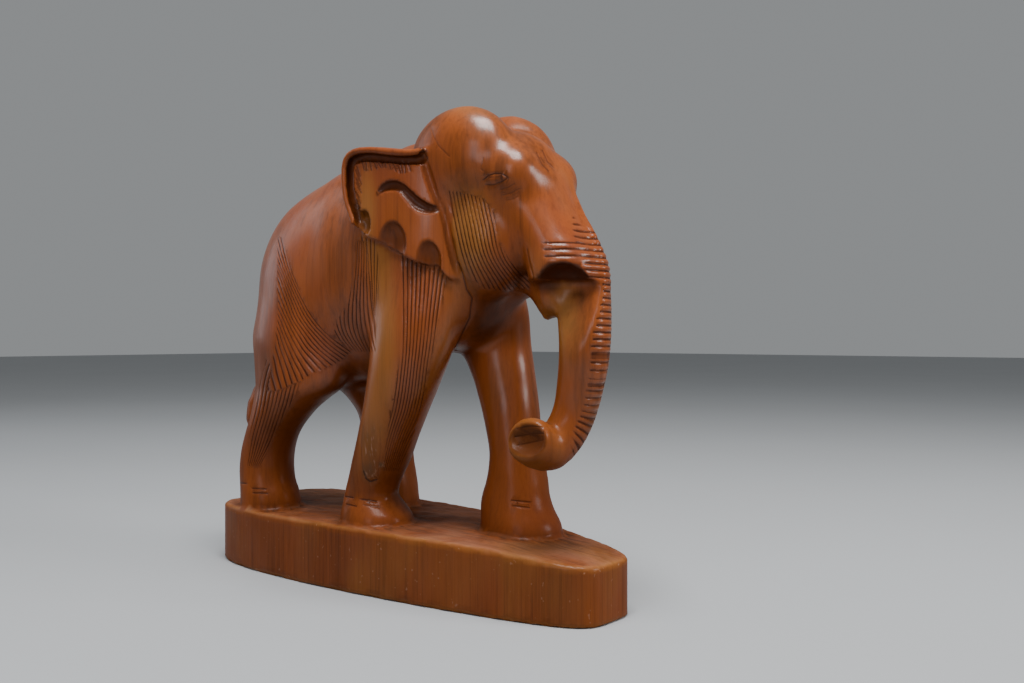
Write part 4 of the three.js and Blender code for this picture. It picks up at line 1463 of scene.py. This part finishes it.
class Tree:
    """The nodes of one material."""

    def __init__(self, name: str) -> None:
        """Makes an empty material.

        Args:
            name: the material's name.
        """
        self.material = bpy.data.materials.new(name)
        self.material.use_nodes = True
        self.nodes = self.material.node_tree.nodes
        self.nodes.clear()

    def add(self, kind: str, settings: dict, inputs: dict, output: str | int = 0) -> Wire:
        """Adds a node.

        Args:
            kind: the node's type.
            settings: its settings.
            inputs: values or wires by the name or number of the socket.
            output: the name or number of the socket handed back.

        Returns:
            the output as a wire.
        """
        node = self.nodes.new(kind)
        for key, value in settings.items():
            setattr(node, key, value)
        for key, value in inputs.items():
            socket = node.inputs[key]
            if isinstance(value, Wire):
                self.material.node_tree.links.new(value.socket, socket)
            elif isinstance(value, tuple) and len(value) == 3 and socket.type == "RGBA":
                socket.default_value = (*value, 1)
            else:
                socket.default_value = value
        return Wire(self, node.outputs[output])

    def finish(self, shader: Wire) -> bpy.types.Material:
        """Shows the shader.

        Args:
            shader: the shader of the surface.

        Returns:
            the material.
        """
        node = self.nodes.new("ShaderNodeOutputMaterial")
        self.material.node_tree.links.new(shader.socket, node.inputs["Surface"])
        return self.material

    def attribute(self, name: str) -> Wire:
        """A value that the mesh carries."""
        return self.add("ShaderNodeAttribute", {"attribute_name": name}, {}, "Fac")

    def stretched(self, scale: Row) -> Wire:
        """The place on the object, in metres, stretched along each axis."""
        place = self.add("ShaderNodeTexCoord", {}, {}, "Object")
        return self.add("ShaderNodeVectorMath", {"operation": "MULTIPLY"}, {0: place, 1: scale})

    def noise(self, scale: Row, detail: float = 3.0, rough: float = 0.55, warp: float = 0.0) -> Wire:
        """Adds cloudy noise.

        Args:
            scale: steps of the noise to the metre along each axis.
            detail: how many finer layers it has.
            rough: how strong they are.
            warp: how far the noise is bent.

        Returns:
            the noise, around one half.
        """
        return self.add("ShaderNodeTexNoise", {}, {
            "Vector": self.stretched(scale), "Scale": 1.0, "Detail": detail,
            "Roughness": rough, "Distortion": warp,
        }, "Fac")

    def blend(self, factor: Wire | float, under: Wire | tuple, over: Wire | tuple) -> Wire:
        """Lays one colour over another through a Mix node, as far as the factor says."""
        return self.add("ShaderNodeMix", {"data_type": "RGBA"}, {0: factor, 6: under, 7: over}, 2)


@dataclass(frozen=True)
class Grain:
    """The noises that the wood's finish is mixed from."""

    streak: Wire
    fibre: Wire
    broad: Wire
    cloud: Wire
    worn: Wire


@dataclass(frozen=True)
class VarnishedWood:
    """Orange-brown wood with an upright grain under a glossy, aged varnish.

    Colours are linear red, green and blue.
    """

    shadow: Row = (0.014, 0.0026, 0.0006)
    groove: Row = (0.034, 0.0065, 0.0014)
    brown: Row = (0.138, 0.033, 0.0055)
    orange: Row = (0.300, 0.070, 0.0130)
    ochre: Row = (0.345, 0.145, 0.028)
    red: Row = (0.225, 0.042, 0.0110)
    block: Row = (0.112, 0.027, 0.0058)
    grime: Row = (0.036, 0.019, 0.0110)
    flaw: Row = (0.065, 0.042, 0.022)
    dust: Row = (0.35, 0.195, 0.125)
    line_wobble: float = 0.34
    plain_rough: float = 0.44
    ior: float = 1.5
    sheen_level: float = 0.07
    varnish: float = 0.75
    varnish_rough: float = 0.24
    bump_strength: float = 0.55
    bump_height: float = 0.0006

    def grain(self, t: Tree) -> Grain:
        """Makes the noises, from wide clouds to single fibres.

        Args:
            t: the material's nodes.

        Returns:
            the noises.
        """
        return Grain(
            streak=t.noise((420, 420, 9), 4.0, 0.6, 0.3),
            fibre=t.noise((1500, 1500, 30), 2.0, 0.6),
            broad=t.noise((34, 34, 6), 3.0, 0.55, 0.6),
            cloud=t.noise((22, 22, 16), 2.0),
            worn=t.noise((110, 110, 45), 2.0).spread(0.25, 0.6, 0.55, 1.0),
        )

    def timber(self, t: Tree, g: Grain) -> Wire:
        """Colours the bare wood.

        Args:
            t: the material's nodes.
            g: the noises.

        Returns:
            the colour: brown and orange figure, reddish clouds, gold and dark streaks.
        """
        figure = g.broad * 0.55 + g.streak * 0.45
        colour = t.blend(figure.spread(0.34, 0.62), self.brown, self.orange)
        colour = t.blend(g.cloud.spread(0.45, 0.75) * 0.55, colour, self.red)
        gold = t.noise((17, 17, 6), 2.0, 0.5, 0.8).spread(0.5, 0.72)
        colour = t.blend(gold * 0.4, colour, self.ochre)
        pale = t.attribute("pale") * g.broad.spread(0.3, 0.6, 0.45, 1.0)
        colour = t.blend(pale * 0.85, colour, self.ochre)
        colour = t.blend(g.streak.spread(0.5, 0.72) * 0.35, colour, self.brown)
        return t.blend(g.fibre.spread(0.5, 0.8) * 0.16, colour, self.shadow)

    def shaded_and_grooved(self, t: Tree, colour: Wire, line: Wire, cuts: Wire) -> Wire:
        """Darkens the wood with painted shade in hollows, on undersides and on the lower legs, and with
        the dark carved lines and cuts.

        Args:
            t: the material's nodes.
            colour: the colour so far.
            line: how deep in a carved line a place is.
            cuts: how deep in a single cut a place is.

        Returns:
            the colour with painted shade in folds, hollows, undersides and lower legs, and with dark
            lines and cuts.
        """
        low = t.attribute("low")
        # painted shade in hollows, creases and shadowed patches
        colour = t.blend(t.attribute("hollow_shade").spread(0.12, 1.0) * 0.82, colour, self.shadow)
        # painted shade on the undersides, which face away from the light
        colour = t.blend(t.attribute("under") * 0.5, colour, self.shadow)
        # painted shade: the legs go darker towards the bottom, where less light falls
        colour = t.blend(low * 0.42, colour, self.brown)
        colour = t.blend(low * 0.16, colour, self.shadow)
        colour = t.blend(line * 0.85, colour, self.groove)
        return t.blend(cuts * 0.7, colour, self.groove)

    def flawed(self, t: Tree, colour: Wire) -> Wire:
        """Greys the rough flaw of the leg and scratches it.

        Args:
            t: the material's nodes.
            colour: the colour so far.

        Returns:
            the colour with the flaw and the knots in it.
        """
        knot = t.attribute("knot")
        patch = t.noise((160, 160, 60), 3.0).spread(0.35, 0.65, 0.35, 1.0)
        colour = t.blend(knot * patch * 0.75, colour, self.flaw)
        scratch = t.noise((620, 620, 60), 3.0).spread(0.55, 0.68)
        return t.blend(knot * scratch * 0.55, colour, self.dust)

    def plinth_colour(self, t: Tree, g: Grain, colour: Wire, soot: Wire, chip: Wire) -> Wire:
        """Colours the top and the sides of the plinth.

        Args:
            t: the material's nodes.
            g: the noises.
            colour: the colour so far.
            soot: the noise of the dirt.
            chip: the noise of the chips.

        Returns:
            the colour with a dusty top, dirt round the feet, dull sides made darker partly by painted
            shade, and rubbed edges.
        """
        top, raw, rub, dirt = (t.attribute(name) for name in ("top", "raw", "rub", "dirt"))
        stain = t.noise((700, 700, 14), 5.0, 0.65, 0.7).spread(0.42, 0.75)
        plank = t.noise((50, 900, 90), 4.0, 0.65, 0.5).spread(0.45, 0.68)
        colour = t.blend(dirt * soot * 0.85, colour, self.grime)
        colour = t.blend(top * 0.3, colour, self.block)
        colour = t.blend(top * (1 - dirt) * g.broad.spread(0.3, 0.7) * 0.4, colour, self.dust)
        colour = t.blend(top * plank * (0.25 + dirt * 0.7), colour, self.grime)
        # the raw sides go towards the darker block colour: partly the unvarnished wood's own tone,
        # partly painted shade for the weaker light near the bottom
        colour = t.blend(raw * 0.6, colour, self.block)
        colour = t.blend(raw * stain * 0.34, colour, self.shadow)
        colour = t.blend(raw * g.cloud.spread(0.45, 0.7) * 0.12, colour, self.ochre)
        colour = t.blend(chip * (raw * 0.25 + rub * 0.9), colour, self.dust)
        return t.blend(rub * g.worn * 0.4, colour, self.ochre)

    def gloss(self, t: Tree, line: Wire) -> Wire:
        """How much of the varnish is left.

        Args:
            t: the material's nodes.
            line: how deep in a carved line a place is.

        Returns:
            the share, from 0 to 1: full on the body, little in folds, on feet and on the plinth.
        """
        handled = t.noise((75, 75, 30), 4.0, 0.6).spread(0.3, 0.7, 0.45, 1.0)
        left = handled * (1 - line * 0.7)
        losses = {"top": 0.85, "raw": 0.7, "hollow_shade": 0.8, "under": 0.7, "worn_foot": 0.72}
        for name, loss in losses.items():
            left = left * (1 - t.attribute(name) * loss)
        return left

    def build(self) -> bpy.types.Material:
        """Makes the material.

        Returns:
            the material, which reads the marks that the mesh carries.
        """
        t = Tree("varnished_wood")
        g = self.grain(t)
        phase, depth = t.attribute("line_phase"), t.attribute("line_depth")
        wobble = t.noise((60, 60, 30), 2.0) - 0.5
        swing = abs((phase + wobble * self.line_wobble).fract() - 0.5)
        line = swing.spread(0.04, 0.26, 1, 0) * (depth * 4.0).spread(0.0, 1.0) * g.worn
        cuts = abs(t.attribute("cut_gap")).spread(0.3, 1.2, 1, 0) * t.attribute("cut_depth")
        soot = t.noise((90, 260, 90), 4.0, 0.65, 0.8).spread(0.36, 0.66)
        chip = t.noise((520, 520, 380), 1.0).spread(0.70, 0.77)
        colour = self.flawed(t, self.shaded_and_grooved(t, self.timber(t, g), line, cuts))
        colour = self.plinth_colour(t, g, colour, soot, chip)
        rough = self.plain_rough + (g.fibre - 0.5) * 0.16 + line * 0.2
        for name, more in {"raw": 0.2, "top": 0.25, "worn_foot": 0.18, "knot": 0.2}.items():
            rough = rough + t.attribute(name) * more
        height = t.noise((190, 190, 60), 3.0) * 0.5 + g.fibre * 0.14 + g.streak * 0.22
        height = height + chip * t.attribute("rub") * -0.5 + t.attribute("dirt") * soot * -0.5
        height = height - line * 0.9 - cuts * 0.6
        bump = t.add("ShaderNodeBump", {}, {
            "Strength": self.bump_strength, "Distance": self.bump_height, "Height": height}, "Normal")
        return t.finish(t.add("ShaderNodeBsdfPrincipled", {}, {
            "Base Color": colour, "Roughness": rough, "IOR": self.ior,
            "Specular IOR Level": self.sheen_level, "Coat Weight": self.gloss(t, line) * self.varnish,
            "Coat Roughness": self.varnish_rough, "Coat IOR": self.ior, "Normal": bump,
        }))


@dataclass(frozen=True)
class WearAndShade:
    """Where painted shade lies in hollows, on undersides and on the lower legs, dirt lies, edges are
    rubbed and the wood is pale or flawed.
    """

    relief: Relief
    shade: tuple[Row, ...] = ((2.5, 0.5), (6.0, 0.35), (14.0, 0.25))
    block_top: float = 34.0
    arris_width: float = 1.6
    foot_width: float = 1.3
    foot_dirt: float = 9.0
    head: Zone = Zone((38, -40, 138), (104, 40, 212))
    leaves: Zone = Zone((-18, -52, 144), (64, 52, 226))
    root: Zone = Zone((84, -40, 70), (125, 40, 150.5))
    chest: Zone = Zone((18, -34, 84), (84, 34, 156))
    crown: Zone = Zone((12, -40, 186), (92, 40, 240))
    right_leg: Zone = Zone((-30, -50, 36), (60, -2, 176), Side.RIGHT)
    gold_cheek: Patch = Patch(467, 232, 24, 42, head)
    gold_leaf: Patch = Patch(367, 205, 9, 36, leaves, 0.55)
    gold_trunk: Patch = Patch(563, 318, 17, 42, root, 0.75)
    # painted shadows: dark patches in the hollow under the lip, on the chest below the jaw, round the
    # eye and on the back of the dome
    lip_hollow_shadow: Patch = Patch(548, 285, 17, 11, root, 0.8)
    breast_shadow: Patch = Patch(492, 322, 34, 32, chest, 0.75)
    eye_socket_shade: Patch = Patch(505, 186, 17, 15, head, 0.35)
    dome_back_shade: Patch = Patch(438, 142, 27, 36, crown, 0.42)
    ridge: tuple[Row, ...] = ((236, 362, 388), (300, 373, 393), (360, 372, 394), (430, 357, 388),
                              (500, 352, 376))
    ridge_edge: Row = (8, 10)
    ridge_foot: Row = (500, 430)
    ridge_strength: float = 0.6
    flaw_middle: Row = (369, 452)
    flaw_half: Row = (7.5, 27)
    knots: tuple[Row, ...] = ((381, 465, 3.2), (400, 492, 3.0), (411, 461, 2.0))
    socket_lip: Row = (139, 147)
    socket_front: float = 93.0

    def hollows(self, p: Points, n: Points, px: np.ndarray) -> np.ndarray:
        """Finds the hollows and creases where light hardly comes, for painted shade.

        Args:
            p: points of the surface.
            n: their normals.
            px: their places in the view, folded onto the right.

        Returns:
            how deep in a hollow each point is, from 0 to 1.
        """
        elephant, deep = self.relief.elephant, np.zeros(len(p))
        # painted shade: the less open space lies outside a point, the darker it is painted
        for reach, share in self.shade:
            open_way = elephant.distance(p + reach * n) / reach
            deep += share * np.clip(1 - open_way, 0, 1)
        # painted shade inside the tusk sockets and in the dished end of the trunk
        socket = elephant.head.tusk_hollow.distance(mirrored(p))
        socket_shade = np.exp(-((socket / 1.3) ** 2)) * ramp(p[:, 2], *self.socket_lip)
        dish = np.maximum(elephant.trunk.dish().distance(p), 0)
        places = [
            0.9 * socket_shade * (p[:, 0] > self.socket_front),
            0.92 * np.exp(-((dish / 1.8) ** 2)),
            self.ear_pit_shade(mirrored(p)),
        ]
        # painted shadow patches under the lip, on the chest, round the eye and behind the dome
        patches = (self.lip_hollow_shadow, self.breast_shadow, self.eye_socket_shade, self.dome_back_shade)
        return np.maximum.reduce([deep, *places, *(patch.at(px, p) for patch in patches)])

    def ear_pit_shade(self, q: Points) -> np.ndarray:
        """Finds the fold and the scoops of the ear, to paint shade into them.

        Args:
            q: points folded onto the left.

        Returns:
            how dark the painted shade is at each point, from 0 to 1.
        """
        ear, pits = self.relief.elephant.ear, np.zeros(len(q))
        here = self.relief.leaf(q) < 1
        out = ear.lift(q[here])
        flat = np.stack([q[here, 0], out, q[here, 2]], 1)
        dark = 0.75 * ramp(out, 3.4, 1.2) * np.exp(-((ear.fold.distance(flat) / 0.8) ** 2))
        for scoop in ear.scoops:
            hollow = np.exp(-((scoop.distance(flat) / 1.1) ** 2))
            # the upper part of each scoop gets deeper painted shade
            upper = ramp(flat[:, 2], scoop.centre[2] - scoop.half[2], scoop.centre[2])
            dark = np.maximum(dark, (0.15 + 0.4 * upper) * hollow)
        pits[here] = dark
        return pits

    def block(self, p: Points, n: Points, animal: np.ndarray) -> dict[str, np.ndarray]:
        """Marks the plinth.

        Args:
            p: points of the surface.
            n: their normals.
            animal: their distance to the animal.

        Returns:
            the top, the raw sides, the rubbed edges and the dirt, each from 0 to 1.
        """
        plinth = self.relief.elephant.plinth
        side, above = plinth.side(p), plinth.above_top(p)
        block = (animal > 0.8) & (p[:, 2] < self.block_top)
        level = ramp(n[:, 2], 0.4, 0.8)
        top, raw = block * level, block * (1 - level)
        rub = block * np.exp(-((side / self.arris_width) ** 2) - ((above / self.arris_width) ** 2))
        rub = np.maximum(rub, 0.8 * raw * np.exp(-((p[:, 2] / self.foot_width) ** 2)))
        feet = np.exp(-np.maximum(animal, 0) / self.foot_dirt)
        dirt = top * (0.2 + 0.8 * feet) * ramp(side, -2.0, -7.0)
        return {"top": top, "raw": raw, "rub": rub, "dirt": dirt}

    def pale(self, p: Points, px: np.ndarray, face: np.ndarray) -> np.ndarray:
        """Finds the gold wood of the cheek, the ear, the trunk and the ridge of the leg.

        Args:
            p: points of the surface.
            px: their places in the view, folded onto the right.
            face: how squarely they face the view.

        Returns:
            how pale each point is, from 0 to 1.
        """
        leaf = self.relief.leaf(p)
        off_leaf = ramp(leaf, 0.8, 3.0)
        guide = Profile(self.ridge).at(px[:, 1])
        outer, inner = self.ridge_edge
        ridge = ramp(px[:, 0], guide[:, 0] - outer, guide[:, 0] + inner)
        ridge *= ramp(px[:, 0], guide[:, 1] + outer, guide[:, 1] - outer)
        ridge *= off_leaf * ramp(px[:, 1], *self.ridge_foot)
        return np.maximum.reduce([
            self.gold_cheek.at(px, p) * off_leaf,
            self.gold_leaf.at(px, p) * ramp(leaf, 1.0, 0.4),
            self.gold_trunk.at(px, p),
            self.ridge_strength * ridge * self.right_leg.holds(p) * ramp(face, 0.1, 0.4),
        ])

    def flaw(self, p: Points, px: np.ndarray, face: np.ndarray) -> np.ndarray:
        """Finds the rough flaw and the small knots of the right fore leg.

        Args:
            p: points of the surface.
            px: their places in the view, folded onto the right.
            face: how squarely they face the view.

        Returns:
            how flawed each point is, from 0 to 1.
        """
        leg = self.right_leg.holds(p)
        q = (px - np.array(self.flaw_middle)) / np.array(self.flaw_half)
        flawed = np.exp(-(q[:, 0] ** 4) - q[:, 1] ** 4) * leg * (face > 0.1)
        for x, y, size in self.knots:
            spot = np.exp(-(((px[:, 0] - x) ** 2 + (px[:, 1] - y) ** 2) / size**2))
            flawed = np.maximum(flawed, spot * leg * (face > 0.05))
        return flawed

    def marks(self, p: Points, n: Points) -> dict[str, np.ndarray]:
        """Works out every mark of wear and dirt, and the painted shade.

        Args:
            p: points of the surface.
            n: their normals.

        Returns:
            values from 0 to 1 by name.
        """
        px, face = self.relief.seen(p, n)
        animal = self.relief.elephant.animal(p)
        on_animal = animal < 0.8
        return {
            # painted shade in hollows, creases and shadowed patches
            "hollow_shade": self.hollows(p, n, px),
            # painted shade on surfaces that face downwards
            "under": ramp(n[:, 2], -0.1, -0.8) * (p[:, 2] > 30),
            "worn_foot": ramp(p[:, 2], 112, 58) * on_animal,
            # painted shade that grows towards the bottom of the legs
            "low": ramp(p[:, 2], 135, 62) * on_animal,
            "pale": self.pale(p, px, face),
            "knot": self.flaw(p, px, face),
            **self.block(p, n, animal),
        }


@dataclass(frozen=True)
class Tooling:
    """The marks of gouge and knife: dug plinth top, chipped arris and faceted body."""

    gouge: Row = (9.0, 4.5, 40.0)
    chip: Row = (4.0, 4.0, 3.0)
    facet: Row = (14.0, 14.0, 19.0)
    fine_facet: Row = (6.5, 6.5, 9.0)
    facet_depth: float = 0.24
    facet_rise: Row = (33, 40)

    def depth(self, p: Points, marks: dict[str, np.ndarray]) -> np.ndarray:
        """How far the tools have dug into the wood.

        Args:
            p: points of the surface.
            marks: the marks of wear at the points.

        Returns:
            the depth at each point, in millimetres.
        """
        gouge = Lattice(11).at(p, self.gouge)
        chip = Lattice(5).at(p, self.chip)
        facet = Lattice(7).at(p, self.facet) + 0.35 * Lattice(3).at(p, self.fine_facet)
        dig = marks["top"] * 0.5 * (0.5 + 0.5 * gouge) + marks["dirt"] * (0.45 + 0.55 * gouge)
        dig += marks["rub"] * 0.9 * np.clip(chip - 0.15, 0, 1)
        return np.maximum(dig, 0) + self.facet_depth * (1.35 + facet) * ramp(p[:, 2], *self.facet_rise)


@dataclass(frozen=True)
class Carving:
    """The dressed carving: mesh, relief, marks of wear, painted shade and finish."""

    relief: Relief
    tooling: Tooling = Tooling()
    finish: VarnishedWood = VarnishedWood()
    cell: float = 2.3
    quick_cell: float = 3.6
    rounds: int = 2
    lo: Row = (-134.0, -52.0, -5.7)
    hi: Row = (134.0, 52.0, 242.0)
    cut_share: float = 0.4
    cut_width: float = 1.2
    sole: float = 0.4

    def mesh(self) -> tuple[Points, np.ndarray]:
        """The mesh before the relief is cut into it.

        Returns:
            points and triangles.
        """
        cell = self.cell
        carver = Carver(self.relief.elephant.distance, self.lo, self.hi, cell)
        points, tris = carver.surface()
        LOG.info("rough carving: %d triangles", len(tris))
        for _ in range(self.rounds):
            points, tris = carver.refine(points, tris, self.relief.spacing)
            LOG.info("finer carving: %d triangles", len(tris))
        return points, tris

    def depth(self, p: Points, n: Points, values: dict[str, np.ndarray]) -> np.ndarray:
        """How deep the relief lies under the plain form.

        Args:
            p: points of the surface.
            n: their normals.
            values: the lines, cuts and marks at the points.

        Returns:
            the depth at each point, in millimetres.
        """
        swing = np.abs((values["line_phase"] % 1.0) - 0.5)
        lines = values["line_depth"] * ramp(swing, 0.34, 0.04)
        cuts = values["cut_depth"] * np.exp(-((values["cut_gap"] / self.cut_width) ** 2))
        dug = self.tooling.depth(p, values)
        return lines + self.cut_share * cuts + dug - self.relief.eyeball(p, n)

    def build(self, box: tuple[Vector, Vector]) -> bpy.types.Object:
        """Makes the carving.

        Args:
            box: lowest and highest corners that the piece has to stay inside, in metres.

        Returns:
            the piece.
        """
        points, tris = self.mesh()
        normal = unit_slope(self.relief.elephant.distance, points)
        values = {**self.relief.lines(points, normal), **WearAndShade(self.relief).marks(points, normal)}
        points = points - self.depth(points, normal, values)[:, None] * normal
        points[points[:, 2] < self.sole, 2] = 0.0
        low, high = (np.array(corner) / MM for corner in box)
        points = np.clip(points, low, high)
        data = bpy.data.meshes.new("carved_elephant_skin")
        data.from_pydata(points * MM, [], tris.tolist())
        for name, value in values.items():
            layer = data.attributes.new(name, "FLOAT", "POINT")
            layer.data.foreach_set("value", value.astype(np.float32))
        data.shade_smooth()
        data.update()
        piece = bpy.data.objects.new("carved_elephant_skin", data)
        bpy.context.collection.objects.link(piece)
        data.materials.append(self.finish.build())
        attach(piece, "root")
        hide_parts("carved_elephant")
        return piece


@dataclass(frozen=True)
class Lamp:
    """One soft light of the studio; places and sizes are metres, the power is watts."""

    name: str
    place: Row
    aim: Row
    size: Row
    power: float
    colour: Row = (1.0, 1.0, 1.0)

    def make(self) -> None:
        """Hangs the light and turns it to its aim."""
        data = bpy.data.lights.new(self.name, "AREA")
        data.shape, data.size, data.size_y = "RECTANGLE", self.size[0], self.size[1]
        data.energy, data.color = self.power, self.colour
        lamp = bpy.data.objects.new(self.name, data)
        bpy.context.collection.objects.link(lamp)
        lamp.location = self.place
        aim = Vector(self.aim) - Vector(self.place)
        lamp.rotation_euler = aim.to_track_quat("-Z", "Y").to_euler()


@dataclass(frozen=True)
class FloorPaint:
    """Plain matt paint that is very slightly cloudy."""

    colour: Row = (0.40, 0.41, 0.42)
    darker: float = 0.97
    rough: float = 0.85

    def build(self) -> bpy.types.Material:
        """Makes the material.

        Returns:
            the material.
        """
        t = Tree("floor_paint")
        shade = t.noise((3, 3, 3), 2.0).spread(0.2, 0.8)
        colour = t.blend(shade, self.colour, tuple(self.darker * c for c in self.colour))
        return t.finish(t.add("ShaderNodeBsdfPrincipled", {}, {
            "Base Color": colour, "Roughness": self.rough}))


@dataclass(frozen=True)
class Studio:
    """Plain pale floor and plain soft light."""

    floor_size: float = 12.0
    paint: FloorPaint = FloorPaint()
    sky_colour: Row = (0.80, 0.83, 0.85)
    sky_strength: float = 0.33
    lamps: tuple[Lamp, ...] = (
        Lamp("overhead", (0.22, -0.18, 1.10), (0.0, 0.0, 0.12), (0.5, 0.5), 17.0),
        Lamp("near", (0.28, -1.25, 0.62), (0.0, 0.0, 0.14), (0.35, 0.7), 2.8, (0.86, 0.92, 1.0)),
        Lamp("window", (-1.20, -0.30, 0.60), (0.0, 0.0, 0.14), (0.5, 1.0), 1.9, (0.86, 0.92, 1.0)),
        Lamp("front", (1.10, 0.38, 0.66), (0.05, 0.0, 0.16), (0.4, 0.4), 7.0),
    )

    def make(self) -> None:
        """Lays the floor, sets the sky and hangs the lamps."""
        half = self.floor_size / 2
        data = bpy.data.meshes.new("floor")
        corners = [(-half, -half, 0), (half, -half, 0), (half, half, 0), (-half, half, 0)]
        data.from_pydata(corners, [], [(0, 1, 2, 3)])
        floor = bpy.data.objects.new("floor", data)
        bpy.context.collection.objects.link(floor)
        data.materials.append(self.paint.build())
        floor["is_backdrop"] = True
        world = bpy.data.worlds.new("sky")
        bpy.context.scene.world = world
        world.use_nodes = True
        back = world.node_tree.nodes["Background"]
        back.inputs["Color"].default_value = (*self.sky_colour, 1)
        back.inputs["Strength"].default_value = self.sky_strength
        for lamp in self.lamps:
            lamp.make()


def main() -> None:
    """Builds the carving and the studio round it."""
    logging.basicConfig(level=logging.INFO, format="%(name)s: %(message)s")
    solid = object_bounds()
    LOG.info("the frame has %d node", len(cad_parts))
    view = View()
    view.make()
    piece = Carving(Relief(view, Elephant())).build(solid)
    LOG.info("%s: %d triangles", piece.name, len(piece.data.polygons))
    Studio().make()
    LOG.info("studio ready")


if __name__ == "__main__":
    main()
